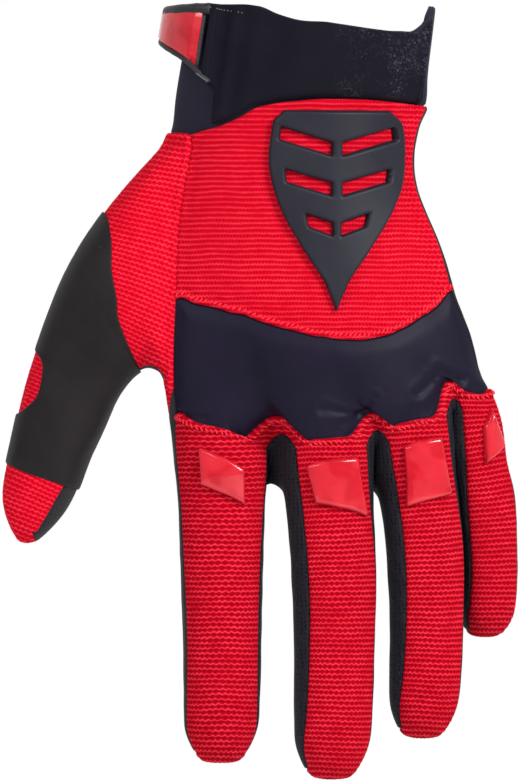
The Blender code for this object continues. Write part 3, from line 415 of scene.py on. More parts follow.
def place_finger_roots(cage, fingers):
    points = cage.points
    heights = {"back": line_heights("root"), "palm": line_heights("palm_root")}
    for finger in fingers:
        for key, angle in zip(root_keys(finger), finger.angles()):
            points[key] = finger.point(0.0, angle)
            if key[0] in heights:
                points[key].z = heights[key[0]][key[2]]
    for n in range(3):
        column = first_column(n) + FINGER_STEPS + 1
        for side, sink in WEB_SINK.items():
            left, right = (points[(side, LAST_ROW, column + i)] for i in (-1, 1))
            point = (left + right) / 2
            point.z = heights[side][column]
            point.y += sink * PALM_DEPTH
            points[(side, LAST_ROW, column)] = point
        crotch = (points[("side", n, "right")] + points[("side", n + 1, "left")]) / 2
        upper, lower = (points[(side, LAST_ROW, column)] for side in ("back", "palm"))
        crotch.z = mix(upper.z, lower.z, WEB_MIDDLE)
        crotch.y = mix(upper.y, lower.y, 0.5)
        points[("web", n)] = crotch


def palm_row(cage, k):
    """Places one row of points round the hand, between the cuff edge and the finger roots."""
    row, points = PALM_ROWS[k], cage.points
    first, second, share = row["lines"]
    upper, lower = line_heights(first), line_heights(second)
    lump, blend = KNUCKLE_LUMP.get(k, 0.0), k / LAST_ROW
    sideways = [drop * SIDEWAYS_SHARE.get(k, 0.0) for drop in line_drops("sideways")]
    seam_x, edge_x = row["seam"] * PALM_WIDTH, row["edge"] * PALM_WIDTH
    fall = CUFF_LEVEL + (points[("palm", LAST_ROW, 0)].z - CUFF_LEVEL) / LAST_ROW * k
    for i, u in enumerate(column_shares()):
        if u < ARCH_PEAK:
            drop = row["seam_drop"] * ((ARCH_PEAK - u) / ARCH_PEAK) ** 2
        else:
            drop = row["edge_drop"] * ((u - ARCH_PEAK) / (1 - ARCH_PEAK)) ** ARCH_POWER
        x, y = mix(seam_x, edge_x, u), (row["top"] + drop) * PALM_DEPTH
        root = points[("back", LAST_ROW, i)]
        points[("back", k, i)] = Vector((mix(x, root.x, lump) + sideways[i],
                                         mix(y, root.y, lump), mix(upper[i], lower[i], share)))
    left, right = points[("back", k, 0)], points[("back", k, COLUMNS)]
    for i, u in enumerate(column_shares()):
        y = row["palm"] + row["heel"] * math.sin(math.pi * u)
        y -= PALM_ROUNDING * abs(2 * u - 1) ** 3
        x = mix(seam_x + SEAM_TUCK * PALM_WIDTH, edge_x - EDGE_TUCK * PALM_WIDTH, u)
        root = points[("palm", LAST_ROW, i)]
        z = mix(mix(left.z, right.z, u), mix(fall, root.z, blend), blend)
        points[("palm", k, i)] = Vector((mix(x, root.x, lump),
                                         mix(y * PALM_DEPTH, root.y, lump), z))
    palm_left, palm_right = points[("palm", k, 0)], points[("palm", k, COLUMNS)]
    side = (right + palm_right) / 2
    side.x = row["side"] * PALM_WIDTH
    points[("right", k)] = side
    side = (left + palm_left) / 2
    if k == 0:
        side.x = seam_x - THUMB_SIDE_REACH * PALM_WIDTH
    else:
        side.x = min(left.x, palm_left.x) - SIDE_REACH * PALM_WIDTH
    if k == 0 or k >= CROTCH_ROW:
        points[("left", k)] = side


def wrist_ring(k):
    """Cage names round the wrist at a cuff row, from the thumb's seam over the back."""
    return (line_keys("back", k, 0, COLUMNS) + [("right", k)]
            + line_keys("palm", k, COLUMNS, 0) + [("left", k)])


def rim_height(number):
    """Height of the cuff's rim at a point of the wrist ring."""
    for (a, low), (b, high) in zip(RIM, RIM[1:]):
        if a <= number <= b:
            t = (number - a) / (b - a)
            return mix(low, high, t * t * (3 - 2 * t)) * CUFF_LENGTH
    return 0.0


def place_cuff(cage):
    ring = [cage.points[key] for key in wrist_ring(0)]
    centre = sum(ring, Vector()) / len(ring)
    for n, height in enumerate(CUFF_ROWS):
        for number, (key, edge) in enumerate(zip(wrist_ring(-1 - n), ring)):
            point = centre + (edge - centre) * mix(1.0, CUFF_TAPER, height)
            point.x += CUFF_SHIFT * CUFF_LENGTH * height
            point.z = mix(edge.z, rim_height(number), height)
            cage.points[key] = point


def thumb_keys(ring):
    """Cage names of a ring of the thumb, outer side first; ring 0 is where it leaves the hand."""
    if ring > 0:
        return [("thumb", ring, m) for m in range(16)]
    back = [("back", k, 0) for k in range(CROTCH_ROW + 1)]
    palm = [("palm", k, 0) for k in range(CROTCH_ROW, -1, -1)]
    return back + [("left", CROTCH_ROW)] + palm + [("left", 0)]


def place_thumb(cage):
    base = [cage.points[key] for key in thumb_keys(0)]
    for number, row in enumerate(THUMB_RINGS, start=1):
        outer, inner = (Vector((row[side][0] * PALM_WIDTH, 0,
                                CUFF_LEVEL - row[side][1] * PALM_WIDTH))
                        for side in ("outer", "inner"))
        centre, across = (outer + inner) / 2, (inner - outer) / 2
        centre.y = row["set"] * PALM_DEPTH
        blend = THUMB_BLEND[number - 1] if number <= len(THUMB_BLEND) else 0.0
        angles = ring_turns(-THUMB_OUTER_TURN, row["inner_turn"], THUMB_UNDER_TURN,
                            THUMB_OUTER_TURN, CROTCH_ROW)
        for key, angle, start in zip(thumb_keys(number), angles, base):
            along, inward = oval(angle, FINGER_ROUNDNESS)
            point = centre + across * along + Vector((0, inward * row["depth"] * PALM_DEPTH, 0))
            point.y = mix(point.y, start.y, blend)
            cage.points[key] = point


def cap_grid(cage, name, back, right, palm, left, tip):
    """Closes a tube's last ring with a middle row of points between its back and palm rows."""
    middle, last = [left], len(back) - 1
    for i in range(1, last):
        key = (name, "tip", i)
        share = 4 * i * (last - i) / last ** 2
        cage.points[key] = ((cage.points[back[i]] + cage.points[palm[i]]) / 2
                            + tip * mix(TIP_SHOULDER, 1.0, share))
        middle.append(key)
    return [back, middle + [right], palm]


def build_cage():
    cage = Cage()
    fingers = [Finger(name) for name in FINGER_NAMES]
    place_finger_roots(cage, fingers)
    for k in range(LAST_ROW):
        palm_row(cage, k)
    place_cuff(cage)
    place_thumb(cage)
    for k in range(LAST_ROW):
        back, palm = ([line_keys(side, row, *ends) for row in (k, k + 1)]
                      for side, ends in (("back", (0, COLUMNS)), ("palm", (COLUMNS, 0))))
        cage.grid("back_panel" if k < HEM_ROW else
                  "knuckle_panel" if k < ZIGZAG_ROW else "finger_backs", back)
        cage.grid("palm", palm)
        cage.grid("palm", [[back[n][-1], ("right", k + n), palm[n][0]] for n in (0, 1)])
        if k >= CROTCH_ROW:
            cage.grid("palm", [[palm[n][-1], ("left", k + n), back[n][0]] for n in (0, 1)])
    for n in range(len(CUFF_ROWS)):
        ring = wrist_ring(-n)
        cage.tube(["cuff"] * len(ring), wrist_ring(-1 - n), ring)
    build_fingers(cage, fingers)
    build_thumb(cage)
    return cage, fingers


def build_fingers(cage, fingers):
    for finger in fingers:
        n = finger.number
        panels = ["finger_backs"] * 4 + ["palm" if n == 3 else f"fourchette_{n + 1}"] * 2
        panels += ["palm"] * 4 + ["palm" if n == 0 else f"fourchette_{n}"] * 2
        for station, row in enumerate(FINGER_SECTIONS[1:], start=1):
            for key, angle in zip(ring_keys(finger, station), finger.angles(station)):
                cage.points[key] = finger.point(row["along"], angle)
            cage.tube(panels, ring_keys(finger, station - 1), ring_keys(finger, station))
        ring = ring_keys(finger, len(FINGER_SECTIONS) - 1)
        tip = finger.centre(1.0) - finger.centre(FINGER_SECTIONS[-1]["along"])
        rows = cap_grid(cage, n, ring[0:5], ring[5], ring[10:5:-1], ring[11], tip)
        cage.grid("finger_backs", rows[:2])
        cage.grid("palm", rows[1:])
    for n in range(3):
        c = first_column(n) + FINGER_STEPS
        back, palm = (line_keys(side, LAST_ROW, c, c + 2) for side in ("back", "palm"))
        cage.grid(f"fourchette_{n + 1}",
                  [back, [("side", n, "right"), ("web", n), ("side", n + 1, "left")], palm])


def build_thumb(cage):
    for ring in range(1, len(THUMB_RINGS) + 1):
        front = 7 if ring == 1 else 6
        panels = ["thumb_panel"] * front + ["thumb_palm"] * (14 - front) + ["thumb_panel"] * 2
        cage.tube(panels, thumb_keys(ring - 1), thumb_keys(ring))
    ring = thumb_keys(len(THUMB_RINGS))
    last = THUMB_RINGS[-1]
    tip = Vector((0.0, THUMB_TIP[0] * PALM_DEPTH,
                  -THUMB_TIP[1] * (last["inner"][0] - last["outer"][0]) * PALM_WIDTH))
    rows = cap_grid(cage, "thumb", ring[0:7], ring[7], ring[14:7:-1], ring[15], tip)
    cage.grid("thumb_panel", [row[:6] for row in rows[:2]])
    cage.grid("thumb_palm", [row[5:] for row in rows[:2]])
    cage.grid("thumb_palm", rows[1:])


def strap_point(skin, names, place, height):
    heights = (0.0,) + CUFF_ROWS
    down = 0
    while down < len(names) - 2 and height > heights[down + 1]:
        down += 1
    share = (height - heights[down]) / (heights[down + 1] - heights[down])
    return skin.at(names, place, down + share)


def strap_value(value, place):
    """A measure of the strap at a place round the wrist, straight between the table's rows."""
    for left, right in zip(STRAP, STRAP[1:]):
        if right["place"] <= place:
            t = (left["place"] - place) / (left["place"] - right["place"])
            return mix(left[value], right[value], t)
    return STRAP[-1][value]


def pad_place(name, across, down):
    """Turn and place along the finger, across and down a pad in shares of it."""
    return tuple(mix(mix(a, b, across), mix(c, d, across), down) for a, b, c, d in zip(*PADS[name]))


def badge_half(down):
    return table_curve(BADGE_OUTLINE, "down", "half", down) * BADGE_WIDTH / 2


MM = 0.001
LEVELS = 4
FIT_PASSES = 2
RIB_PITCH = 1.55 * MM
STITCH_PITCH = 1.5 * MM
RIB_HEIGHT = 0.21 * MM
ZIGZAG = 0.15
THUMB_RIB_PITCH = 1.5 * MM
THUMB_RIB_SHARE = 0.50
# Slope of the thumb panel's ribs at drops below the wrist, as shares of the palm's width
THUMB_RIB_LEAN = [(0.35, 0.10), (0.70, 0.25), (1.00, 0.45), (1.20, 0.52), (1.50, 0.42)]
THUMB_RIB_CENTRE = 0.55
ROLL_WIDTH = 0.9 * MM
ROLL_DEPTH = 0.5 * MM
HEM_WIDTH = 2.5 * MM
STITCH_INSET = 1.35 * MM
STITCH_SPACING = 1.5 * MM
WELT_WIDTH = 2.2 * MM
SHOULDER_RISE = 0.9 * MM
SHOULDER_REACH = 4.0 * MM
# The thumb's overlay: columns it may reach back from the first, and how far its ends tuck under
PATCH_BEHIND = 2
PATCH_TUCK = 0.85
# Steps of each panel's mesh across and down, in millimetres; the other panels take the plain ones
PANEL_STEPS = {"back_panel": (0.37, 0.25), "thumb_panel": (0.50, 0.40),
               "finger_backs": (0.36, 0.24), "palm": (1.1, 1.1), "thumb_palm": (1.1, 1.1),
               "cuff": (0.8, 0.8)}
PLAIN_STEPS = (0.7, 0.7)
# The knit's side seam by the little finger lies right at the outline on these rows
SIDE_SEAM_ROWS = (0, 1, 2, 3)
SIDE_SEAM_REACH = 0.009
BODY = "root"


def bell(value, width):
    return np.exp(-(value / width) ** 2)


def beside(points, a, b):
    """For each point, the sum of the points that an edge joins it to."""
    total = np.zeros_like(points)
    np.add.at(total, a, points[b])
    np.add.at(total, b, points[a])
    return total


def rim_or_inside(points, a, b, weight, inside):
    """Points on the rim as a mean with the two beside them, and the others as they are given."""
    rim = np.zeros(len(points), dtype=bool)
    rim[a] = rim[b] = True
    return np.where(rim[:, None], (weight * points + beside(points, a, b)) / (weight + 2), inside)


def quad_sides(quads, count):
    """Ends of every quad's sides, then the first side on each edge, its number and its uses."""
    a, b = quads.ravel(), np.roll(quads, -1, axis=1).ravel()
    code = np.minimum(a, b) * count + np.maximum(a, b)
    _, first, inverse, uses = np.unique(code, return_index=True, return_inverse=True,
                                        return_counts=True)
    return a, b, first, inverse, uses


def border_edges(quads):
    a, b, _, inverse, uses = quad_sides(quads, quads.max() + 1)
    once = uses[inverse] == 1
    return a[once], b[once]


def limit_points(points, quads):
    """Where each cage point comes to lie once the cage is rounded off."""
    edge, corner = np.zeros_like(points), np.zeros_like(points)
    for i in range(4):
        here, after, across, before = (quads[:, (i + n) % 4] for n in range(4))
        np.add.at(edge, here, points[after] + points[before])
        np.add.at(corner, here, points[across])
    faces = np.bincount(quads.ravel(), minlength=len(points))[:, None]
    inside = (faces ** 2 * points + 2 * edge + corner) / (faces * (faces + 5))
    return rim_or_inside(points, *border_edges(quads), 4, inside)


def refine(points, grids):
    """One round of Catmull-Clark smoothing on square grids of point numbers."""
    many, size, _ = grids.shape
    n, count = size - 1, len(points)
    quads = cells(grids)
    middles = points[quads].mean(axis=1)
    a, b, first, inverse, uses = quad_sides(quads, count)
    ends = points[a[first]] + points[b[first]]
    around = np.zeros_like(ends)
    np.add.at(around, inverse, np.repeat(middles, 4, axis=0))
    rim = uses == 1
    edges = np.where(rim[:, None], ends / 2, (ends + around) / 4)
    valence = np.maximum(1, np.bincount(a, minlength=count))[:, None]
    faces, spokes = np.zeros_like(points), np.zeros_like(points)
    np.add.at(faces, a, np.repeat(middles, 4, axis=0))
    for side in (a[first], b[first]):
        np.add.at(spokes, side, ends / 2)
    moved = (faces / valence + 2 * spokes / valence + (valence - 3) * points) / valence
    moved = rim_or_inside(points, a[first][rim], b[first][rim], 6, moved)
    edge_ids = (count + len(quads) + inverse).reshape(many, n, n, 4)
    finer = np.empty((many, 2 * n + 1, 2 * n + 1), dtype=np.int64)
    finer[:, ::2, ::2] = grids
    finer[:, 1::2, 1::2] = (count + np.arange(len(quads))).reshape(many, n, n)
    finer[:, 0:-1:2, 1::2] = edge_ids[..., 0]
    finer[:, -1, 1::2] = edge_ids[:, -1, :, 2]
    finer[:, 1::2, 0:-1:2] = edge_ids[..., 3]
    finer[:, 1::2, -1] = edge_ids[:, :, -1, 1]
    return np.concatenate([moved, middles, edges]), finer


def resample(grid, rows, columns):
    """A grid of values at a new number of rows and columns, straight between its own."""
    n = len(grid) - 1
    v, u = np.linspace(0, n, rows + 1), np.linspace(0, n, columns + 1)
    j, i = np.minimum(v.astype(int), n - 1), np.minimum(u.astype(int), n - 1)
    fv, fu = (v - j)[:, None, None], (u - i)[None, :, None]
    upper = grid[j][:, i] * (1 - fu) + grid[j][:, i + 1] * fu
    lower = grid[j + 1][:, i] * (1 - fu) + grid[j + 1][:, i + 1] * fu
    return upper * (1 - fv) + lower * fv


def unit(vectors):
    return vectors / np.maximum(1e-12, np.linalg.norm(vectors, axis=-1, keepdims=True))


class SmoothSkin:
    """The cage rounded off: each cage quad as a fine grid of points with outward normals."""

    def __init__(self, cage):
        keys = list(cage.points)
        index = {key: n for n, key in enumerate(keys)}
        target = np.array([cage.points[key] for key in keys])
        self.corners = np.array([[index[key] for key in quad] for _, quad in cage.quads])
        self.keys = [quad for _, quad in cage.quads]
        self.panel = [panel for panel, _ in cage.quads]
        self.find = {frozenset((quad[s], quad[s + 2])): n for s in (0, 1)
                     for n, quad in enumerate(self.keys)}
        points = target.copy()
        for _ in range(FIT_PASSES):
            points += target - limit_points(points, self.corners)
        grids = self.corners[:, [0, 1, 3, 2]].reshape(-1, 2, 2)
        for _ in range(LEVELS):
            points, grids = refine(points, grids)
        quads = cells(grids)
        across = np.cross(points[quads[:, 3]] - points[quads[:, 1]],
                          points[quads[:, 2]] - points[quads[:, 0]])
        normals = np.zeros_like(points)
        for corner in range(4):
            np.add.at(normals, quads[:, corner], across)
        normals = unit(normals)
        self.patch = np.concatenate([points[grids], normals[grids]], axis=-1)
        tree_points = points[grids[:, ::2, ::2]].reshape(-1, 3)
        size = grids.shape[1] // 2 + 1
        number = np.arange(len(tree_points)).reshape(-1, size, size)
        self.tree = BVHTree.FromPolygons(tree_points.tolist(), grid_faces(number).tolist())
        self.neighbours()

    def neighbours(self):
        """For each side of each quad, the panel beyond it, or None at the rim."""
        sides = {}
        for q, corners in enumerate(self.corners):
            for s in range(4):
                edge = frozenset((corners[s], corners[(s + 1) % 4]))
                sides.setdefault(edge, []).append((q, s))
        self.beyond = [[None] * 4 for _ in self.corners]
        self.edge_of = {}
        for edge, users in sides.items():
            for q, s in users:
                self.edge_of[(q, s)] = edge
                others = [self.panel[other] for other, _ in users if other != q]
                self.beyond[q][s] = others[0] if others else "rim"

    def side(self, q, s):
        grid = self.patch[q]
        return (grid[0], grid[:, -1], grid[-1][::-1], grid[:, 0][::-1])[s]

    def divisions(self, panel, across, down):
        """How many columns and rows each quad of a panel is cut into, equal on shared sides."""
        group = {}

        def top(edge):
            while group.setdefault(edge, edge) != edge:
                edge = group[edge]
            return edge

        quads = [q for q, name in enumerate(self.panel) if name == panel]
        for q in quads:
            for s in (0, 1):
                a, b = top(self.edge_of[(q, s)]), top(self.edge_of[(q, s + 2)])
                group[a] = b
        need = {}
        for q in quads:
            for s in range(4):
                line = self.side(q, s)[:, :3]
                length = np.linalg.norm(np.diff(line, axis=0), axis=1).sum()
                step = across if s in (0, 2) else down
                root = top(self.edge_of[(q, s)])
                need[root] = max(need.get(root, 1), math.ceil(length / step))
        return {q: tuple(need[top(self.edge_of[(q, s)])] for s in (0, 1)) for q in quads}

    def at(self, names, across, down):
        """Point and outward normal on a grid of cage names, by place across and down."""
        i = clamp(math.floor(across), 0, len(names[0]) - 2)
        j = clamp(math.floor(down), 0, len(names) - 2)
        start, end = names[j][i], names[j + 1][i + 1]
        q = self.find[frozenset((start, end))]
        grid = self.patch[q]
        n = len(grid) - 1
        spot = [Vector(((0, 0), (n, 0), (n, n), (0, n))[self.keys[q].index(key)])
                for key in (start, names[j][i + 1], names[j + 1][i])]
        u, v = spot[0] + (spot[1] - spot[0]) * (across - i) + (spot[2] - spot[0]) * (down - j)
        a, b = clamp(math.floor(u), 0, n - 1), clamp(math.floor(v), 0, n - 1)
        fu, fv = u - a, v - b
        value = ((grid[b, a] * (1 - fu) + grid[b, a + 1] * fu) * (1 - fv)
                 + (grid[b + 1, a] * (1 - fu) + grid[b + 1, a + 1] * fu) * fv)
        return Vector(value[:3]), Vector(value[3:]).normalized()


def kd_tree(points):
    tree = KDTree(len(points))
    for n, point in enumerate(points):
        tree.insert(point, n)
    tree.balance()
    return tree


def distances(points, marks):
    """Distance from each point to the nearest of the marks."""
    tree = kd_tree(marks)
    return np.array([tree.find(point)[2] for point in points])


def smooth_step(value, low, high):
    t = np.clip((value - low) / (high - low), 0, 1)
    return t * t * (3 - 2 * t)


def waves(points, size, seed):
    """Soft even noise between -1 and 1, from a few crossing waves."""
    rng = np.random.default_rng(seed)
    total = np.zeros(len(points))
    for _ in range(7):
        direction = rng.normal(size=3)
        direction /= np.linalg.norm(direction)
        total += np.sin(points @ direction * (2 * math.pi / size * rng.uniform(0.7, 1.5))
                        + rng.uniform(0, 6.3))
    return total / 7


class Cloth:
    """The welded points of a piece of a panel, ready to be raised, folded and given a wall."""

    def __init__(self, skin, panel, only=None):
        steps = PANEL_STEPS.get(panel, PLAIN_STEPS)
        cuts = skin.divisions(panel, *(step * MM for step in steps))
        quads = [q for q in cuts if only is None or only(skin.keys[q])]
        blocks, inner_blocks, faces, inner_faces, sides = [], [], [], [], []
        count = inner_count = 0
        for q in quads:
            columns, rows = cuts[q]
            block = resample(skin.patch[q], rows, columns)
            place = np.stack(np.meshgrid(np.linspace(0, 1, columns + 1),
                                         np.linspace(0, 1, rows + 1)), -1)
            place += column_place(skin.keys[q])
            blocks.append(np.concatenate([block, place], -1).reshape(-1, 8))
            number = count + np.arange(block.shape[0] * block.shape[1]).reshape(block.shape[:2])
            faces.append(grid_faces(number))
            count = number[-1, -1] + 1
            for s, line in enumerate((number[0], number[:, -1], number[-1], number[:, 0])):
                if skin.beyond[q][s] != panel:
                    sides.append((skin.beyond[q][s], line))
            block = resample(skin.patch[q], 3, 3)
            inner_blocks.append(block.reshape(-1, 6))
            number = inner_count + np.arange(16).reshape(4, 4)
            inner_faces.append(grid_faces(number)[:, ::-1])
            inner_count += 16
        values, weld = welded(np.concatenate(blocks))
        self.base, self.normal = values[:, :3], unit(values[:, 3:6])
        self.place = values[:, 6:8]
        self.faces = weld[np.concatenate(faces)]
        self.inner, weld_inner = welded(np.concatenate(inner_blocks))
        self.inner_faces = weld_inner[np.concatenate(inner_faces)]
        self.borders = {}
        for name, line in sides:
            self.borders.setdefault(name, []).append(weld[line])
        self.height = np.zeros(len(self.base))
        self.shift = np.zeros_like(self.base)
        self.edge = self.distance(*self.borders)

    def distance(self, *names):
        """Distance of each point to the borders with these panels, large if there are none."""
        lines = [line for name in names for line in self.borders.get(name, [])]
        if not lines:
            return np.full(len(self.base), 1.0)
        return distances(self.base, self.base[np.unique(np.concatenate(lines))])

    def roll(self, width=ROLL_WIDTH, depth=ROLL_DEPTH):
        """Turns the edges down into the seams."""
        t = np.clip(1 - self.edge / width, 0, 1)
        self.height -= depth * (1 - np.sqrt(np.maximum(0.0, 1 - t ** 2)))

    def swell(self, *swells):
        """Soft bulges, each with a height and a size in millimetres and a seed."""
        for rise, size, seed in swells:
            self.height += rise * MM * waves(self.base, size * MM, seed)

    def placed(self):
        return self.base + self.shift + self.normal * self.height[:, None]

    def finish(self, name, wall, finish_material, uv=None):
        """Makes the object, with a rim turned inwards and a coarser inner face."""
        outer = self.placed()
        normal = self.normal
        points, faces = [outer], [self.faces]
        count = len(outer)
        rim = np.unique(np.concatenate([line for lines in self.borders.values()
                                        for line in lines]))
        lookup = np.zeros(count, dtype=np.int64)
        lookup[rim] = count + np.arange(len(rim))
        points.append(self.base[rim] - normal[rim] * wall)
        for lines in self.borders.values():
            for line in lines:
                a, b = line[:-1], line[1:]
                faces.append(np.stack([a, b, lookup[b], lookup[a]], -1))
        count += len(rim)
        points.append(self.inner[:, :3] - unit(self.inner[:, 3:6]) * wall)
        faces.append(self.inner_faces + count)
        extra = None
        if uv is not None:
            extra = np.concatenate([uv, uv[rim], np.zeros((len(self.inner), 2))])
        return mesh_piece(name, np.concatenate(points), np.concatenate(faces), finish_material,
                          extra)


def column_place(keys):
    """Column and row numbers of a quad, so that the knit runs on from panel to panel."""
    key = keys[0]
    kind = "tip" if key[1] == "tip" else key[0]
    if kind == "back":
        return np.array([key[2], key[1]], dtype=float)
    if kind == "finger":
        return np.array([first_column(key[1]) + key[3], LAST_ROW + key[2]], dtype=float)
    if kind == "thumb":
        return np.array([key[2] if key[2] < 14 else key[2] - 16, key[1]], dtype=float)
    return np.zeros(2)


def cells(grids):
    """The cells of grids of numbers as quads: a corner, the next across, beyond, and down."""
    return np.stack([grids[..., :-1, :-1], grids[..., :-1, 1:], grids[..., 1:, 1:],
                     grids[..., 1:, :-1]], -1).reshape(-1, 4)


def grid_faces(grids):
    return cells(grids)[:, [0, 3, 2, 1]]


def welded(values):
    """Joins rows of values whose first three, a place, are the same."""
    spot = np.round(values[:, :3] * 1e6).astype(np.int64)
    _, first, inverse = np.unique(spot, axis=0, return_index=True, return_inverse=True)
    return values[first], inverse.ravel()


def mesh_piece(name, points, faces, finish_material, uv=None, sharp=None):
    mesh = bpy.data.meshes.new(name)
    faces = np.asarray(faces)
    mesh.vertices.add(len(points))
    mesh.vertices.foreach_set("co", np.asarray(points, dtype=np.float32).ravel())
    sides = faces.shape[1]
    mesh.loops.add(faces.size)
    mesh.loops.foreach_set("vertex_index", faces.ravel().astype(np.int32))
    mesh.polygons.add(len(faces))
    mesh.polygons.foreach_set("loop_start", np.arange(0, faces.size, sides, dtype=np.int32))
    mesh.update(calc_edges=True)
    mesh.validate()
    if uv is not None:
        layer = mesh.uv_layers.new(name="weave")
        layer.data.foreach_set("uv", uv[faces.ravel()].astype(np.float32).ravel())
    mesh.materials.append(finish_material)
    mesh.shade_smooth()
    if sharp:
        mesh.set_sharp_from_angle(angle=math.radians(sharp))
    piece = bpy.data.objects.new(name, mesh)
    bpy.context.scene.collection.objects.link(piece)
    return piece


def dress(piece, slot_name, *nodes):
    """Makes a piece move with the root body and hides the imported parts it replaces; slot_name is
    not used.
    """
    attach(piece, BODY)
    if nodes:
        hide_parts(*nodes)
    return piece


def lean_of_ribs(height):
    """How far the thumb's ribs lean, as a slope, at a height."""
    return np.interp(-height / PALM_WIDTH, [place for place, _ in THUMB_RIB_LEAN],
                     [slope for _, slope in THUMB_RIB_LEAN])


def cell_noise(row, column, seed):
    """An even random value for each numbered stitch of each numbered row, from -1 to 1."""
    mixed = np.sin(np.floor(row) * 127.1 + np.floor(column) * 311.7 + seed * 74.7) * 43758.5453
    return 2 * (mixed - np.floor(mixed)) - 1


def knit(cloth, across, lean=0.0, centre=-THUMB_RIB_CENTRE * PALM_WIDTH, pitch=RIB_PITCH,
         hems=(), welts=(), height=RIB_HEIGHT):
    """Raises ribs and their stitches, and returns the weave's own coordinates."""
    base = cloth.base
    row = (-base[:, 2] - lean * (base[:, 0] - centre)) / pitch
    row = row + 0.20 * waves(base, 15 * MM, 5) + 0.10 * waves(base, 4 * MM, 6)
    stitch = across / STITCH_PITCH + 0.25 * waves(base, 7 * MM, 9)
    shifted = stitch + 0.5 * np.mod(np.floor(row), 2)
    zigzag = np.abs(np.mod(shifted, 1) * 2 - 1) * 2 - 1
    bent = row + ZIGZAG * zigzag * (1 + 1.2 * cell_noise(row, shifted, 2))
    crest = 1 - np.abs(2 * np.mod(bent, 1) - 1) ** 2
    bead = 0.90 + 0.10 * np.cos(2 * math.pi * shifted) + 0.14 * cell_noise(bent, shifted, 1)
    uneven = 1 + 0.26 * waves(base, 3 * MM, 10) + 0.28 * waves(base, 24 * MM, 11)
    hem, welt = cloth.distance(*hems), cloth.distance(*welts)
    keep = smooth_step(cloth.edge, 0.3 * MM, 1.1 * MM)
    keep = keep * (0.35 + 0.65 * smooth_step(hem, HEM_WIDTH * 0.8, HEM_WIDTH * 1.1))
    keep = keep * (0.45 + 0.55 * smooth_step(welt, WELT_WIDTH * 0.8, WELT_WIDTH * 1.2))
    cloth.height += height * (crest * bead * uneven * keep - 0.5 * (1 - keep))
    cloth.height += 0.62 * MM * bell(hem - 0.9 * MM, 0.9 * MM)
    cloth.height -= 0.20 * MM * bell(hem - HEM_WIDTH - 0.3 * MM, 0.4 * MM)
    cloth.height += 0.55 * MM * bell(welt - 1.2 * MM, 0.8 * MM)
    return np.stack([stitch, row], -1)


def shoulder(cloth):
    """The hand's cloth stands a little proud where the cuff is sewn under it."""
    cloth.height += SHOULDER_RISE * bell(cloth.distance("cuff"), SHOULDER_REACH)


def tighten(cloth, rounds, reach):
    """Pulls a cloth taut between its edges, so that it bridges small hollows."""
    links = np.concatenate([cloth.faces[:, [a, (a + 1) % 4]] for a in range(4)])
    count = np.maximum(1, np.bincount(links.ravel(), minlength=len(cloth.base)))[:, None]
    pull = smooth_step(cloth.edge, 0.0, reach)[:, None]
    taut = cloth.base.copy()
    for _ in range(rounds):
        taut += 0.8 * pull * (beside(taut, links[:, 0], links[:, 1]) / count - taut)
    cloth.shift += taut - cloth.base


def column_widths():
    total = sum(FINGERS[name]["width"] for name in FINGER_NAMES) + 3 * WEB_WIDTH
    return np.array(column_shares()) * total


def axis_of_finger(finger, points):
    """Slope and middle of a finger at each point's height, for ribs square to the finger."""
    stops = [finger.centre(along) for along in np.linspace(-0.05, 1.0, 22)]
    x, z = (np.array([stop[i] for stop in stops]) for i in (0, 2))
    slope = -np.gradient(x, z)
    fade = smooth_step(-points[:, 2], -z[0] - 4 * MM, -z[4])
    return (-fade * np.interp(-points[:, 2], -z, slope), np.interp(-points[:, 2], -z, x))


def knit_across(cloth):
    widths = column_widths()
    place = np.clip(cloth.place[:, 0], 0, COLUMNS)
    return np.interp(place, np.arange(len(widths)), widths)


def creased(cloth, creases):
    """Presses folds into a cloth: each from one place to another, in shares of the palm."""
    flat = np.stack([cloth.base[:, 0], cloth.base[:, 2]], -1) / PALM_WIDTH
    for x0, z0, x1, z1, wide, deep in creases:
        start, end = np.array([x0, z0]), np.array([x1, z1])
        along = end - start
        length = np.linalg.norm(along)
        along = along / length
        offset = flat - start
        t = np.clip(offset @ along, 0, length)
        bow = 0.06 * length * np.sin(math.pi * t / length)
        side = offset - t[:, None] * along
        across = side @ np.array([-along[1], along[0]]) + bow
        gap = np.hypot(across, np.clip(np.abs(offset @ along - length / 2) - length / 2, 0, 1))
        gap = gap * PALM_WIDTH / (wide * MM)
        front = cloth.normal[:, 1] < 0.3
        cloth.height += front * deep * MM * (0.55 * bell(gap - 1.9, 1) - bell(gap, 1))


def raised(name, points, normals, faces, bottom, thickness, edge_round, finish_material,
           shape=None, start=0.35, uv=None):
    """A piece that lies on another: its top edges rounded, its underside flat."""
    points, normals = np.asarray(points, dtype=float), unit(np.asarray(normals, dtype=float))
    faces = np.asarray(faces)
    a, b = border_edges(faces)
    marks = np.concatenate([points[a], (points[a] + points[b]) / 2])
    gap = distances(points, marks)
    t = np.clip(1 - gap / edge_round, 0, 1)
    top = thickness * (start + (1 - start) * np.sqrt(np.maximum(0.0, 1 - t ** 2)))
    if shape is not None:
        top = top + shape * np.clip(gap / edge_round, 0, 1)
    upper = points + normals * (bottom + top)[:, None]
    lower = points + normals * bottom
    count = len(points)
    facing = np.cross(points[faces[0][2]] - points[faces[0][0]],
                      points[faces[0][3]] - points[faces[0][1]]) @ normals[faces[0][0]]
    if facing < 0:
        faces = faces[:, ::-1]
        a, b = b, a
    walls = np.stack([a, b, b + count, a + count], -1)[:, ::-1]
    every = np.concatenate([faces, faces[:, ::-1] + count, walls])
    if uv is not None:
        uv = np.concatenate([uv, uv])
    return mesh_piece(name, np.concatenate([upper, lower]), every, finish_material, uv, sharp=60)


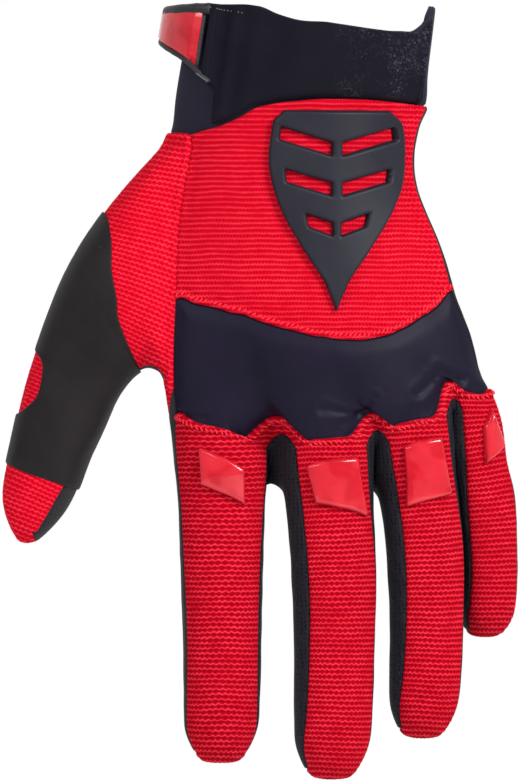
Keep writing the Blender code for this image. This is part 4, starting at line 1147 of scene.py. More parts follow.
def as_grid(rows):
    """Points, normals and faces of a grid of (point, normal) pairs."""
    height, width = len(rows), len(rows[0])
    points = np.array([[tuple(point) for point, _ in row] for row in rows]).reshape(-1, 3)
    normals = np.array([[tuple(normal) for _, normal in row] for row in rows]).reshape(-1, 3)
    return points, normals, grid_faces(np.arange(height * width).reshape(height, width))


def border_path(cloth, panel, inset, spacing):
    """Even places beside a cloth's border with a panel, each with its directions."""
    pairs = [pair for line in cloth.borders.get(panel, []) for pair in zip(line[:-1], line[1:])]
    nexts = {}
    for a, b in pairs:
        nexts.setdefault(a, []).append(b)
        nexts.setdefault(b, []).append(a)
    path = [next((n for n, others in nexts.items() if len(others) == 1), pairs[0][0])]
    while True:
        options = [n for n in nexts[path[-1]] if n not in path[-2:-1]]
        if not options or options[0] == path[0]:
            break
        path.append(options[0])
    line, normal = cloth.base[path], cloth.normal[path]
    length = np.concatenate([[0], np.cumsum(np.linalg.norm(np.diff(line, axis=0), axis=1))])
    stops = np.arange(spacing / 2, length[-1], spacing)
    at, up = (np.stack([np.interp(stops, length, value[:, i]) for i in range(3)], -1)
              for value in (line, normal))
    along = unit(np.gradient(at, axis=0))
    inward = unit(np.cross(unit(up), along))
    nearest = kd_tree(cloth.base)
    outside = [nearest.find(point + into * inset)[2] > nearest.find(point - into * inset)[2]
               for point, into in zip(at, inward)]
    if np.mean(outside) > 0.5:
        inward = -inward
    top = cloth.placed()
    places = []
    for point, direction, into in zip(at, along, inward):
        spot = nearest.find(point + into * inset)[1]
        places.append((top[spot], direction, cloth.normal[spot], into))
    return places


def stitches(name, places, length, radius, slant, finish_material, lift=0.5):
    """A row of short thread loops pressed into the cloth."""
    points, faces = [], []
    rings, around = 5, 6
    lean = math.radians(slant)
    for at, along, up, into in places:
        forward = Vector(along * math.cos(lean) + into * math.sin(lean)).normalized()
        up = Vector(up)
        side = forward.cross(up).normalized()
        number = (len(points) + np.arange(rings * around)).reshape(rings, around)
        for t in np.linspace(-1, 1, rings):
            rise = radius * (lift - 1.1 * t * t)
            middle = Vector(at) + forward * (t * length / 2) + up * rise
            thick = radius * (0.45 + 0.55 * math.sqrt(max(0.0, 1 - t * t)))
            for angle in 2 * math.pi * np.arange(around) / around:
                points.append(middle + (side * math.cos(angle) + up * math.sin(angle)) * thick)
        closed = np.concatenate([number, number[:, :1]], axis=1)
        faces.append(cells(closed))
        for ring in (number[0][::-1], number[-1]):
            faces.append(ring[[[0, 1, 2, 3], [0, 3, 4, 5]]])
    return mesh_piece(name, [tuple(point) for point in points], np.concatenate(faces),
                      finish_material)


class Finish:
    """A procedural material, built node by node."""

    def __init__(self, name, colour, roughness, **settings):
        self.material = bpy.data.materials.new(name)
        self.material.use_nodes = True
        self.tree = self.material.node_tree
        self.shader = self.tree.nodes["Principled BSDF"]
        self.material.diffuse_color = (*colour, 1)
        self.set("Base Color", (*colour, 1))
        self.set("Roughness", roughness)
        for key, value in settings.items():
            self.set(key.replace("_", " "), value)

    def set(self, socket, value):
        self.shader.inputs[socket].default_value = value

    def node(self, kind, inputs=(), **settings):
        made = self.tree.nodes.new(kind)
        for key, value in settings.items():
            setattr(made, key, value)
        for key, value in dict(inputs).items():
            if isinstance(value, bpy.types.NodeSocket):
                self.tree.links.new(value, made.inputs[key])
            else:
                made.inputs[key].default_value = value
        return made

    def math(self, operation, a, b=0.0, c=0.0):
        return self.node("ShaderNodeMath", {0: a, 1: b, 2: c}, operation=operation).outputs[0]

    def noise(self, scale, detail=3.0, roughness=0.6):
        inputs = {"Vector": self.place(), "Scale": scale, "Detail": detail, "Roughness": roughness}
        return self.node("ShaderNodeTexNoise", inputs).outputs["Fac"]

    def cells(self, scale, randomness, feature):
        """Distance within each cell of a cellular pattern."""
        inputs = {"Vector": self.place(), "Scale": scale, "Randomness": randomness}
        return self.node("ShaderNodeTexVoronoi", inputs, feature=feature).outputs["Distance"]

    def spread(self, value, **limits):
        """value moved from one range to another, such as From_Min=0.1, To_Max=0.4."""
        inputs = {key.replace("_", " "): limit for key, limit in limits.items()}
        return self.node("ShaderNodeMapRange", {"Value": value, **inputs}).outputs["Result"]

    def place(self):
        return self.node("ShaderNodeTexCoord").outputs["Object"]

    def ramp(self, value, stops):
        made = self.node("ShaderNodeValToRGB", {"Fac": value})
        band = made.color_ramp
        while len(band.elements) < len(stops):
            band.elements.new(0.5)
        for element, (at, colour) in zip(band.elements, stops):
            element.position = at
            element.color = (*colour, 1)
        return made.outputs["Color"]

    def mask(self, value, low, high):
        return self.ramp(value, [(low, (0, 0, 0)), (high, (1, 1, 1))])

    def blend(self, share, a, b):
        a, b = (c if isinstance(c, bpy.types.NodeSocket) else (*c, 1) for c in (a, b))
        return self.node("ShaderNodeMix", {"Factor": share, 6: a, 7: b},
                         data_type="RGBA").outputs[2]

    def link(self, output, socket):
        self.tree.links.new(output, self.shader.inputs[socket])

    def colour(self, output):
        self.link(output, "Base Color")

    def rough(self, value, low, high):
        self.link(self.spread(value, To_Min=low, To_Max=high), "Roughness")

    def bump(self, value, depth, strength=1.0, before=None):
        inputs = {"Height": value, "Distance": depth, "Strength": strength}
        if before is not None:
            inputs["Normal"] = before
        normal = self.node("ShaderNodeBump", inputs).outputs["Normal"]
        self.link(normal, "Normal")
        return normal


def knit_finish(name, painted_light_gain, painted_shade_contrast=1.0):
    """Red rib knit: painted shade in the furrows, a pale pink painted highlight on the loops'
    crests, and a fine fuzz.
    """
    made = Finish(name, (0.40 * painted_light_gain, 0.002, 0.012), 0.9, Specular_IOR_Level=0.025)
    uv = made.node("ShaderNodeUVMap", uv_map="weave").outputs["UV"]
    parts = made.node("ShaderNodeSeparateXYZ", {"Vector": uv})
    u, v = parts.outputs["X"], parts.outputs["Y"]
    shift = made.math("MULTIPLY", made.math("FLOORED_MODULO", made.math("FLOOR", v), 2.0), 0.5)
    ripple = made.math("MULTIPLY_ADD", made.math("PINGPONG", made.math("ADD", u, shift), 0.5),
                       4.0 * ZIGZAG, -ZIGZAG)
    bent = made.math("ADD", v, ripple)
    crest = made.math("MULTIPLY", made.math("PINGPONG", bent, 0.5), 2.0)
    fuzz = made.noise(1700.0, 4.0, 0.7)
    patchy = made.noise(260.0, 3.0, 0.6)
    crest = made.math("ADD", crest, made.math("MULTIPLY_ADD", fuzz, 0.6, -0.3))
    crest = made.math("ADD", crest, made.math("MULTIPLY_ADD", patchy, 0.5, -0.25))
    # The gain scales a whole copy of the knit lighter for painted light and darker for painted
    # shade; the contrast deepens the painted furrow shade and brightens the painted crest highlight.
    low, high = painted_light_gain / painted_shade_contrast, painted_light_gain * painted_shade_contrast
    # The ramp along the ribs paints shade into the furrows and a pale pink highlight onto the
    # crests.
    shade = made.ramp(crest, [(at, tuple(share * c for c in colour)) for at, share, colour in (
        (0.0, low, (0.33, 0.0006, 0.0075)), (0.30, low, (0.42, 0.0009, 0.0100)),
        (0.68, painted_light_gain, (0.49, 0.0022, 0.0150)), (1.0, high, (0.66, 0.032, 0.052)))])
    share = made.spread(made.noise(60.0, 3.0), From_Min=0.35, From_Max=0.75, To_Max=0.35)
    made.colour(made.blend(share, shade, tuple(painted_light_gain * c for c in (0.40, 0.0008, 0.009))))
    fibre = made.bump(fuzz, 0.00025, 0.5)
    made.bump(crest, 0.0003, 0.4, fibre)
    return made.material


def plain_knit_finish():
    """The knit's red on a folded hem and its thread."""
    made = Finish("red_thread", (0.55, 0.004, 0.018), 0.6, Specular_IOR_Level=0.06)
    fuzz = made.noise(2500.0, 3.0)
    made.colour(made.ramp(fuzz, [(0.3, (0.48, 0.003, 0.014)), (0.7, (0.75, 0.045, 0.065))]))
    made.bump(fuzz, 0.0002, 0.4)
    return made.material


def padded_finish():
    """Smooth dark laminated cloth with a soft sheen."""
    made = Finish("padded_cloth", (0.0045, 0.003, 0.0110), 0.46, Specular_IOR_Level=0.10)
    wide = made.noise(45.0, 3.0)
    fine = made.noise(5200.0, 2.0)
    made.colour(made.ramp(wide, [(0.3, (0.0034, 0.0022, 0.0090)), (0.7, (0.0060, 0.0042, 0.0140))]))
    made.rough(wide, 0.42, 0.62)
    soft = made.bump(fine, 0.00006, 0.35)
    made.bump(made.noise(240.0, 4.0), 0.0006, 0.22, soft)
    return made.material


def leather_finish(name, colour, worn, grain_depth):
    """Microfibre leather: a pebbled grain, with paler rubbed ridges."""
    made = Finish(name, colour, 0.66, Specular_IOR_Level=0.14, Sheen_Weight=0.02)
    edges = made.cells(1300.0, 1.0, "DISTANCE_TO_EDGE")
    grain = made.mask(edges, 0.0, 0.12)
    wide = made.noise(70.0, 5.0)
    shade = made.ramp(wide, [(0.25, tuple(c * 0.75 for c in colour)), (0.75, worn)])
    made.colour(made.blend(made.math("MULTIPLY", grain, 0.25), shade, worn))
    made.rough(wide, 0.58, 0.78)
    made.bump(made.math("MULTIPLY_ADD", made.noise(3200.0, 3.0), 0.6, grain), grain_depth, 0.4)
    return made.material


def overlay_finish():
    """Matt synthetic leather of the thumb's overlay, with a few caught specks of lint."""
    made = Finish("overlay_leather", (0.0085, 0.0065, 0.0075), 0.6, Specular_IOR_Level=0.12)
    wide, fine = made.noise(60.0, 4.0), made.noise(2600.0, 3.0)
    shade = made.ramp(wide, [(0.3, (0.0070, 0.0052, 0.0062)), (0.7, (0.0120, 0.0098, 0.0108))])
    lint = made.mask(made.noise(520.0, 2.0), 0.765, 0.785)
    made.colour(made.blend(lint, shade, (0.16, 0.15, 0.15)))
    made.rough(wide, 0.5, 0.68)
    soft = made.bump(made.noise(160.0, 3.0), 0.0005, 0.15)
    made.bump(fine, 0.00008, 0.5, soft)
    return made.material


def mesh_finish():
    """Open spacer mesh: rows of small holes, darkened inside by painted shade."""
    made = Finish("side_mesh_cloth", (0.005, 0.005, 0.008), 0.75, Specular_IOR_Level=0.12)
    holes_with_painted_shade = made.mask(made.cells(820.0, 0.25, "F1"), 0.18, 0.42)
    # The holes are coloured darker than the mesh: painted shade inside the openings.
    base = made.blend(holes_with_painted_shade, (0.0020, 0.0020, 0.0028), (0.010, 0.0095, 0.014))
    lint = made.noise(1100.0, 5.0, 0.75)
    fibres = made.mask(made.noise(1500.0, 6.0, 0.85), 0.55, 0.63)
    patchy = made.mask(made.noise(90.0, 3.0), 0.45, 0.70)
    share = made.math("MULTIPLY", made.math("MULTIPLY", fibres, patchy), 0.5)
    made.colour(made.blend(share, base, (0.10, 0.10, 0.11)))
    made.bump(made.math("MULTIPLY_ADD", lint, 0.25, holes_with_painted_shade), 0.0005, 0.7)
    return made.material


def stretch_finish(name, colour, lit, loops=False):
    """Dark stretch cloth, with a patch of brushed loops towards the little finger."""
    made = Finish(name, colour, 0.75, Specular_IOR_Level=0.08, Sheen_Weight=0.01,
                  Sheen_Roughness=0.4)
    fine = made.noise(4200.0, 2.0)
    wide = made.noise(38.0, 3.0)
    base = made.ramp(wide, [(0.3, colour), (0.75, lit)])
    if loops:
        place = made.node("ShaderNodeSeparateXYZ", {"Vector": made.place()})
        side = made.spread(place.outputs["X"], From_Min=0.008, From_Max=0.017)
        threads = made.node("ShaderNodeTexNoise", {"Vector": made.place(), "Scale": 520.0,
                                                   "Detail": 6.0, "Roughness": 0.8,
                                                   "Distortion": 3.0}).outputs["Fac"]
        spots = made.mask(threads, 0.545, 0.61)
        patchy = made.mask(made.noise(120.0, 3.0), 0.42, 0.62)
        share = made.math("MULTIPLY", made.math("MULTIPLY", spots, patchy), side)
        base = made.blend(made.math("MULTIPLY", share, 0.7), base, (0.09, 0.09, 0.12))
        fine = made.math("MULTIPLY_ADD", share, 1.5, fine)
    made.colour(base)
    made.bump(fine, 0.00015, 0.5)
    return made.material


def rubber_finish():
    """Glossy moulded rubber, a little see-through at its edges, with paler pink patches of painted
    highlight.
    """
    made = Finish("red_moulded_rubber", (0.36, 0.003, 0.010), 0.16, Specular_IOR_Level=0.32,
                  Subsurface_Weight=0.1, Subsurface_Scale=0.002, Coat_Weight=0.2,
                  Coat_Roughness=0.05)
    made.set("Subsurface Radius", (1.0, 0.25, 0.2))
    wide = made.noise(170.0, 3.0)
    # Paler pink patches of painted highlight, spread at random over the rubber.
    painted_highlight_patches = made.mask(made.noise(110.0, 1.0), 0.47, 0.55)
    deep = made.ramp(wide, [(0.3, (0.31, 0.0022, 0.0085)), (0.7, (0.42, 0.0040, 0.0130))])
    made.colour(made.blend(made.math("MULTIPLY", painted_highlight_patches, 0.4), deep, (0.50, 0.022, 0.035)))
    made.rough(wide, 0.12, 0.24)
    made.bump(made.noise(420.0, 2.0), 0.0004, 0.10)
    return made.material


def slate_finish():
    """Satin moulded rubber of the badge, with a fine cast texture."""
    made = Finish("slate_moulded_rubber", (0.009, 0.0085, 0.015), 0.46, Specular_IOR_Level=0.16)
    wide = made.noise(90.0, 4.0)
    made.colour(made.ramp(wide, [(0.3, (0.0078, 0.0076, 0.0130)), (0.7, (0.0115, 0.0112, 0.0180))]))
    made.rough(wide, 0.40, 0.55)
    made.bump(made.noise(3000.0, 3.0), 0.00006, 0.5)
    return made.material


def trim_finish():
    """Folded binding tape with a fine mottled grain."""
    made = Finish("binding_tape", (0.012, 0.0115, 0.016), 0.5, Specular_IOR_Level=0.25,
                  Sheen_Weight=0.02)
    fine = made.noise(1800.0, 3.0)
    made.colour(made.ramp(fine, [(0.35, (0.004, 0.0037, 0.006)), (0.75, (0.020, 0.019, 0.025))]))
    made.bump(fine, 0.0002, 0.5)
    return made.material


# Columns at which each finger's piece of the knit starts, and where the last one ends
FINGER_CUTS = (0, 5, 11, 17, 23)
# Creases of the knuckle panel: from one place to another, in shares of the palm's width, then
# width and depth in millimetres
KNUCKLE_CREASES = [
    (-0.44, -1.245, -0.32, -1.270, 1.0, 0.35), (-0.40, -1.300, -0.26, -1.330, 0.9, 0.35),
    (0.05, -1.245, 0.17, -1.250, 1.2, 0.40), (0.17, -1.250, 0.215, -1.205, 1.0, 0.35),
    (0.36, -1.20, 0.40, -1.13, 1.3, 0.45), (0.42, -1.115, 0.50, -1.150, 1.2, 0.50),
    (0.12, -1.29, 0.20, -1.235, 1.1, 0.30),
]


def dress_knit_panels(skin, fingers, red, painted_lit_red, painted_shaded_red, thread):
    back = Cloth(skin, "back_panel")
    uv = knit(back, knit_across(back), hems=("knuckle_panel",))
    back.roll()
    shoulder(back)
    dress(back.finish("back_knit", KNIT_WALL, red, uv), "red_knit", "back_panel")
    rows = [border_path(back, "knuckle_panel", STITCH_INSET, STITCH_SPACING)]
    thumb = Cloth(skin, "thumb_panel")
    uv = knit(thumb, thumb.base[:, 0], lean_of_ribs(thumb.base[:, 2]), pitch=THUMB_RIB_PITCH,
              welts=("back_panel", "knuckle_panel"), height=THUMB_RIB_SHARE * RIB_HEIGHT)
    thumb.roll()
    shoulder(thumb)
    dress(thumb.finish("thumb_knit", KNIT_WALL, painted_lit_red, uv), "red_knit", "thumb_panel")
    for n, name in enumerate(FINGER_NAMES):
        low, high = FINGER_CUTS[n:n + 2]

        def mine(keys, n=n, low=low, high=high):
            key = keys[0]
            if key[0] == "back":
                return low <= key[2] < high
            return key[1] == n if key[0] == "finger" else key[0] == n

        cloth = Cloth(skin, "finger_backs", mine)
        lean, centre = axis_of_finger(fingers[n], cloth.base)
        uv = knit(cloth, knit_across(cloth), lean, centre, hems=("knuckle_panel",))
        cloth.roll()
        dress(cloth.finish(f"finger_knit_{name}", KNIT_WALL, painted_shaded_red, uv), "red_knit",
              "finger_backs")
        rows.append(border_path(cloth, "knuckle_panel", STITCH_INSET, STITCH_SPACING))
    for n, row in enumerate(rows):
        dress(stitches(f"hem_stitches_{n}", row, 1.7 * MM, 0.26 * MM, 52, thread), "red_knit")


def dress_padded(skin, finish_material):
    cloth = Cloth(skin, "knuckle_panel")
    tighten(cloth, 90, 7 * MM)
    cloth.height += 0.9 * MM * (1 - bell(cloth.edge, 3.0 * MM)) - 0.45 * MM
    cloth.swell((0.10, 16, 3))
    creased(cloth, KNUCKLE_CREASES)
    cloth.roll(0.8 * MM, 0.35 * MM)
    piece = cloth.finish("knuckle_pad_cloth", PADDED_WALL, finish_material)
    dress(piece, "padded_panel", "knuckle_panel")


def dress_leather(skin, leather, mesh_cloth):
    for panel, name, swells in (("palm", "palm_leather_cut", ((0.22, 22, 7), (0.07, 7, 8))),
                                ("thumb_palm", "thumb_leather", ((0.15, 14, 12),))):
        cloth = Cloth(skin, panel)
        cloth.swell(*swells)
        cloth.roll(1.0 * MM, 0.45 * MM)
        shoulder(cloth)
        dress(cloth.finish(name, LEATHER_WALL, leather), "palm_leather", panel)
    for n in range(1, 4):
        cloth = Cloth(skin, f"fourchette_{n}")
        cloth.swell((0.12, 9, 20 + n))
        cloth.roll(0.8 * MM, 0.4 * MM)
        dress(cloth.finish(f"finger_side_{n}", MESH_WALL, mesh_cloth), "side_mesh",
              f"fourchette_{n}")


# How many points of the wrist ring the strap may use behind its first and from there on
STRAP_BEHIND = 14
STRAP_AHEAD = 26
# Soft folds down the strap: place round the wrist, width in columns, and height in millimetres
STRAP_FOLDS = [(2.5, 0.35, 0.45), (3.3, 0.5, -0.35), (4.6, 0.7, 0.30), (6.4, 0.8, -0.25),
               (8.4, 0.9, 0.20)]
# Lines of the strap's bindings and welts, and of the pale tube of painted highlight along the tab's
# edge: place round the wrist and share of the cuff's height
TAB_TOP = [(TAB_START + 0.12, 0.945), (0.0, 0.945), (-1.0, 0.94), (-2.0, 0.935), (-5.0, 0.92),
           (-11.6, 0.875)]
TAB_EDGE_PLACES = (-11.6, -9.0, -7.0, -5.0, -3.5, -2.0, -1.0, -0.5, 0.0, 0.5, 1.0)
TAB_PAINTED_HIGHLIGHT = [(0.35, 0.455), (0.7, 0.405), (1.0, 0.385)]
STRAP_EDGE = [(0.8, 0.40), (1.2, 0.375), (1.6, 0.335), (1.9, 0.29), (2.0, 0.20), (2.02, 0.11),
              (2.04, 0.03)]
STRAP_END = [(21.05, 0.03), (21.05, 0.5), (21.05, 0.96)]
# Rows of short stitches: first and last place, share of the cuff's height there, and spacing
STRAP_STITCHES = [("strap_corner_stitches", (0.5, 3.3), (0.955, 0.905), 0.28)]


def dress_cuff(skin, stretch, strap_cloth, rubber, tape, stitch_and_painted_highlight_grey):
    cloth = Cloth(skin, "cuff")
    cloth.swell((0.15, 15, 31))
    cloth.roll(1.0 * MM, 0.6 * MM)
    dress(cloth.finish("stretch_cuff", CUFF_WALL, stretch), "cuff_stretch", "cuff")
    names = []
    for n in range(len(CUFF_ROWS) + 1):
        ring = wrist_ring(-n)
        names.append(ring[-STRAP_BEHIND:] + ring[:STRAP_AHEAD])

    def spot(place, share, rise):
        point, normal = strap_point(skin, names, place + STRAP_BEHIND, min(0.998, share))
        lift = strap_value("off", place) * WRIST_WIDTH + rise
        return point + normal * lift, normal

    def strip(start, end, low_share, high_share, levels, step):
        count = max(2, round((start - end) / step))
        stops = {mix(start, end, i / count) for i in range(count + 1)}
        stops |= {row["place"] for row in STRAP if end < row["place"] < start}
        stops = sorted(stops, reverse=True)
        rows = []
        for place in stops:
            low, high = strap_value("low", place), strap_value("high", place)
            shares = (mix(low_share, high_share, j / levels) for j in range(levels + 1))
            rows.append([spot(place, mix(low, high, share), 0.0) for share in shares])
        return (*as_grid(rows), np.repeat(stops, levels + 1))

    def piping(name, stops, radius, rise, piece_finish):
        """A tube through stops of place and share of the cuff's height, laid on the strap."""
        places = np.array(stops, dtype=float)
        length = np.concatenate([[0], np.cumsum(np.hypot(*np.diff(places, axis=0).T
                                                         * np.array([[1.0], [9.0]])))])
        count = int(length[-1] / 0.12) + 2
        line = [spot(np.interp(t, length, places[:, 0]), np.interp(t, length, places[:, 1]), rise)
                for t in np.linspace(0, length[-1], count)]
        points = np.array([tuple(point) for point, _ in line])
        for _ in range(3):
            points[1:-1] = (points[:-2] + 2 * points[1:-1] + points[2:]) / 4
        up = unit(np.array([tuple(normal) for _, normal in line]))
        along = unit(np.gradient(points, axis=0))
        side = unit(np.cross(along, up))
        around = 12
        turn = np.linspace(0, 2 * math.pi, around, endpoint=False)[None, :, None]
        thick = radius * (1 + 0.06 * np.sin(np.arange(count) * 1.9))[:, None, None]
        tube = points[:, None] + thick * (np.cos(turn) * side[:, None] + np.sin(turn) * up[:, None])
        number = np.arange(count * around).reshape(count, around)
        faces = grid_faces(np.concatenate([number, number[:, :1]], axis=1))
        caps = [number[end, [0, k, k + 1, k + 2]] for end in (0, -1)
                for k in range(1, around - 1, 2)]
        dress(mesh_piece(name, tube.reshape(-1, 3), np.concatenate([faces, caps]), piece_finish),
              "strap_cloth")

    points, normals, faces, places = strip(STRAP[0]["place"], TAB_START + 0.1, 0.0, 1.0, 30, 0.18)
    soft = 0.22 * MM * waves(points, 13 * MM, 33) + 0.10 * MM * waves(points, 6 * MM, 34)
    for place, width, rise in STRAP_FOLDS:
        soft = soft + rise * MM * bell(places - place, width)
    dress(raised("strap_band", points, normals, faces, LIFT, STRAP_WALL, 0.9 * MM, strap_cloth,
                 shape=soft), "strap_cloth", "wrist_strap")
    points, normals, faces, _ = strip(TAB_START - 0.05, -12.0, 0.0, 1.0, 16, 0.2)
    dress(raised("tab_tape", points, normals, faces, LIFT, TAB_WALL, 0.6 * MM, tape),
          "strap_cloth", "strap_tab")
    points, normals, faces, _ = strip(TAB_START - 0.12, -11.6, 0.04, 0.84, 16, 0.2)
    dress(raised("tab_insert", points, normals, faces, LIFT + TAB_WALL * 0.75, 0.7 * MM,
                 0.4 * MM, rubber), "red_rubber")
    edge = [(place, strap_value("low", place)) for place in TAB_EDGE_PLACES]
    for name, radius, rise, piece_finish, stops in (
            ("tab_top_binding", 1.7, 1.3, tape, TAB_TOP),
            ("tab_edge_binding", 0.8, 1.7, tape, edge),
            ("strap_edge_welt", 0.9, 1.2, strap_cloth, STRAP_EDGE),
            # The pale grey tube along the tab's lower edge is a painted highlight line.
            ("tab_edge_painted_highlight", 0.24, 2.45, stitch_and_painted_highlight_grey, TAB_PAINTED_HIGHLIGHT),
            ("strap_end_welt", 0.4, 2.2, strap_cloth, STRAP_END)):
        piping(name, stops, radius * MM, rise * MM, piece_finish)
    for name, ends, shares, spacing in STRAP_STITCHES:
        row = []
        for place in np.arange(*ends, spacing):
            share = np.interp(place, ends, shares)
            point, normal = spot(place, share, 2.40 * MM)
            after, _ = spot(place + 0.05, share, 2.40 * MM)
            along = unit(np.array(after - point))
            up = np.array(normal)
            row.append((np.array(point), along, up, np.cross(up, along)))
        dress(stitches(name, row, 0.55 * MM, 0.2 * MM, 0, stitch_and_painted_highlight_grey), "strap_cloth")


def dress_thumb_patch(skin, finish_material):
    names = []
    for ring in range(len(THUMB_RINGS) + 1):
        keys = thumb_keys(ring)
        names.append(keys[-PATCH_BEHIND:] + keys[:9])
    stations = [dict(row, number=n) for n, row in enumerate(THUMB_PATCH)]
    steps, levels = 56, 110
    rows = []
    for j in range(levels + 1):
        place = (len(stations) - 1) * j / levels
        ring, first, last, tilt = (table_curve(stations, "number", key, place)
                                   for key in ("ring", "first", "last", "tilt"))
        first -= PATCH_TUCK * float(smooth_step(-first, 0.5, 0.9))
        last += PATCH_TUCK * float(smooth_step(last, 5.0, 6.8))
        rows.append([skin.at(names, min(7.95, mix(first, last, i / steps)) + PATCH_BEHIND,
                             ring + tilt * i / steps) for i in range(steps + 1)])
    points, normals, faces = as_grid(rows)
    soft = 0.14 * MM * waves(points, 18 * MM, 41) + 0.05 * MM * waves(points, 5 * MM, 42)
    dress(raised("thumb_patch", points, normals, faces, 0.12 * MM, 0.55 * MM, 0.6 * MM,
                 finish_material, shape=soft, start=0.5), "palm_leather", "thumb_overlay")


def dress_pads(skin, fingers, finish_material):
    for finger in fingers:
        name = FINGER_NAMES[finger.number]
        rows, shape = [], []
        across, down = 26, 30
        for j in range(down + 1):
            row = []
            for i in range(across + 1):
                s, t = i / across, j / down
                angle, along = pad_place(name, s, t)
                point, out = finger.point(along, angle), finger.normal(along, angle)
                hit, normal, _, _ = skin.tree.find_nearest(point)
                if normal.dot(out) < 0:
                    normal = -normal
                row.append((hit, (normal + out).normalized()))
                ridge = abs(0.75 * s + t - 0.85)
                shape.append(0.95 * MM * (0.35 - min(0.9, ridge)))
            rows.append(row)
        points, normals, faces = as_grid(rows)
        dress(raised(f"moulded_pad_{name}", points, normals, faces, 0.2 * MM,
                     LIFT + PAD_HEIGHT - 0.5 * MM, 1.0 * MM, finish_material,
                     shape=np.array(shape), start=0.45), "red_rubber", f"knuckle_pad_{name}")


def dress_badge(skin, finish_material):
    """A tapering plate with chevron slots, wrapped over the back of the hand."""
    top_z = CUFF_LEVEL - BADGE_TOP_DROP
    centre_x = BADGE_X * PALM_WIDTH
    levels, columns = 130, 72
    points, normals, faces, index = [], [], [], {}

    def vert(i, j):
        if (i, j) not in index:
            down = j / levels
            x = centre_x + badge_half(down) * (2 * i / columns - 1)
            rise = BADGE_SLOT_RISE * abs(2 * i / columns - 1) * min(1.0, down / 0.15)
            z = top_z - (down - rise) * BADGE_LENGTH
            hit, normal, _, _ = skin.tree.ray_cast(Vector((x, -1.0, z)), Vector((0, 1, 0)))
            index[(i, j)] = len(points)
            points.append(tuple(hit))
            normals.append(tuple(normal if normal.y < 0 else -normal))
        return index[(i, j)]

    for j in range(levels):
        for i in range(columns):
            down = (j + 0.5) / levels
            side = abs(2 * (i + 0.5) / columns - 1)
            if not any(abs(down - slot) < BADGE_SLOT_HEIGHT / 2
                       and BADGE_RIB_HALF < side < half * BADGE_SLOT_REACH
                       for slot, half in BADGE_SLOTS):
                faces.append([vert(i, j), vert(i + 1, j), vert(i + 1, j + 1), vert(i, j + 1)])
    dress(raised("back_plate", points, normals, faces, 0.2 * MM, LIFT + BADGE_HEIGHT, 0.9 * MM,
                 finish_material, start=0.4), "slate_rubber", "back_badge")


def area_light(name, place, size, power):
    data = bpy.data.lights.new(name, "AREA")
    data.size = size
    data.energy = power
    lamp = bpy.data.objects.new(name, data)
    lamp.location = place
    lamp.rotation_euler = (LIGHT_AIM - Vector(place)).to_track_quat("-Z", "Y").to_euler()
    bpy.context.scene.collection.objects.link(lamp)


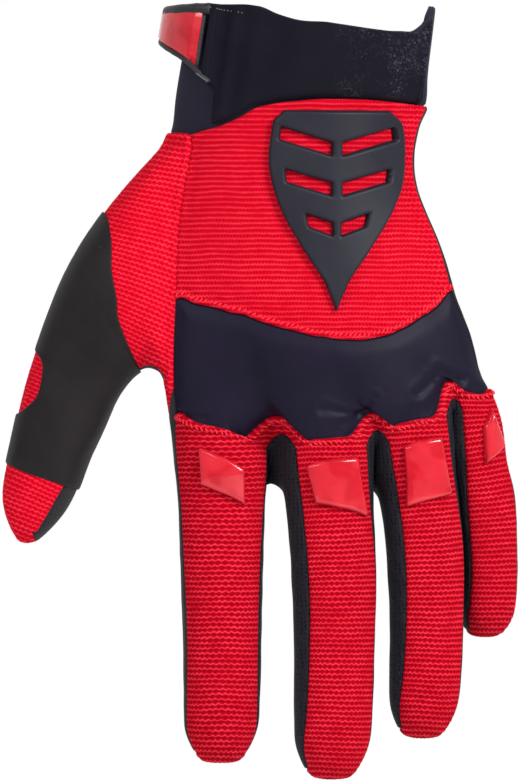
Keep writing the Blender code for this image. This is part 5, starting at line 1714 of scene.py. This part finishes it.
def studio():
    """A pale floor, a white room greyer in front, and soft lights, square to the back."""
    scene = bpy.context.scene
    scene.view_settings.view_transform = "Standard"
    world = bpy.data.worlds.new("white_room")
    world.use_nodes = True
    tree = world.node_tree
    tree.nodes["Background"].inputs["Color"].default_value = (1, 1, 1, 1)
    ways = tree.nodes.new("ShaderNodeSeparateXYZ")
    tree.links.new(tree.nodes.new("ShaderNodeTexCoord").outputs["Generated"],
                   ways.inputs["Vector"])
    shade = tree.nodes.new("ShaderNodeMapRange")
    for socket, value in (("From Min", -0.6), ("From Max", 0.3), ("To Min", ROOM_FRONT),
                          ("To Max", 1.0)):
        shade.inputs[socket].default_value = value
    tree.links.new(ways.outputs["Y"], shade.inputs["Value"])
    tree.links.new(shade.outputs["Result"], tree.nodes["Background"].inputs["Strength"])
    scene.world = world
    corners = [(x * FLOOR_HALF, y * FLOOR_HALF, FLOOR_LEVEL)
               for x, y in ((-1, -1), (1, -1), (1, 1), (-1, 1))]
    floor = mesh_piece("floor", corners, [[0, 1, 2, 3]],
                       Finish("pale_floor", (0.85, 0.85, 0.85), 0.6).material)
    area_light("key", (0.75, -0.85, 0.40), 0.35, 20)
    area_light("fill", (-0.7, -0.9, 0.50), 0.5, 8)
    area_light("glint", (-0.30, -1.25, 0.30), 0.22, 3)
    eye = bpy.data.cameras.new("camera")
    eye.lens = 36.0 * VIEW_DISTANCE / VIEW_HEIGHT
    eye.sensor_width = 36.0
    camera = bpy.data.objects.new("camera", eye)
    camera.location = (VIEW_CENTRE[0], -VIEW_DISTANCE, VIEW_CENTRE[1])
    camera.rotation_euler = (math.radians(90), 0, 0)
    scene.collection.objects.link(camera)
    scene.camera = camera


LIGHT_AIM = Vector((0, 0, -0.11))
ROOM_FRONT = 0.30
FLOOR_HALF = 0.55
FLOOR_LEVEL = -0.30
VIEW_DISTANCE = 4.0
VIEW_HEIGHT = 0.2346
VIEW_CENTRE = (-0.01365, -0.1113)


def main():
    cage, fingers = build_cage()
    for k in SIDE_SEAM_ROWS:
        cage.points[("back", k, COLUMNS)].x += SIDE_SEAM_REACH * PALM_WIDTH
    skin = SmoothSkin(cage)
    # The thumb panel's knit is a copy painted lighter, and the fingers' knit a copy painted darker
    # with harder rib shading: painted light and shade on one red knit.
    red = knit_finish("red_knit_cloth", 0.93)
    painted_lit_red = knit_finish("thumb_knit_painted_lit", 1.07)
    painted_shaded_red = knit_finish("finger_knit_painted_shade", 0.75, 1.28)
    leather = leather_finish("palm_leather_grain", (0.009, 0.0082, 0.0095), (0.018, 0.0165, 0.019),
                             0.00012)
    rubber, tape = rubber_finish(), trim_finish()
    studio()
    dress_knit_panels(skin, fingers, red, painted_lit_red, painted_shaded_red, plain_knit_finish())
    dress_padded(skin, padded_finish())
    dress_leather(skin, leather, mesh_finish())
    # The grey thread serves the strap's corner stitches and the pale tube of painted highlight along
    # the tab's edge.
    dress_cuff(skin, stretch_finish("cuff_cloth", (0.011, 0.0095, 0.0185), (0.0155, 0.0138, 0.0250)),
               stretch_finish("strap_cloth_face", (0.0024, 0.0019, 0.0050),
                              (0.0045, 0.0038, 0.0085), loops=True), rubber, tape,
               Finish("grey_thread_and_painted_highlight", (0.07, 0.07, 0.08), 0.6, Specular_IOR_Level=0.2).material)
    dress_thumb_patch(skin, overlay_finish())
    dress_pads(skin, fingers, rubber)
    dress_badge(skin, slate_finish())


main()
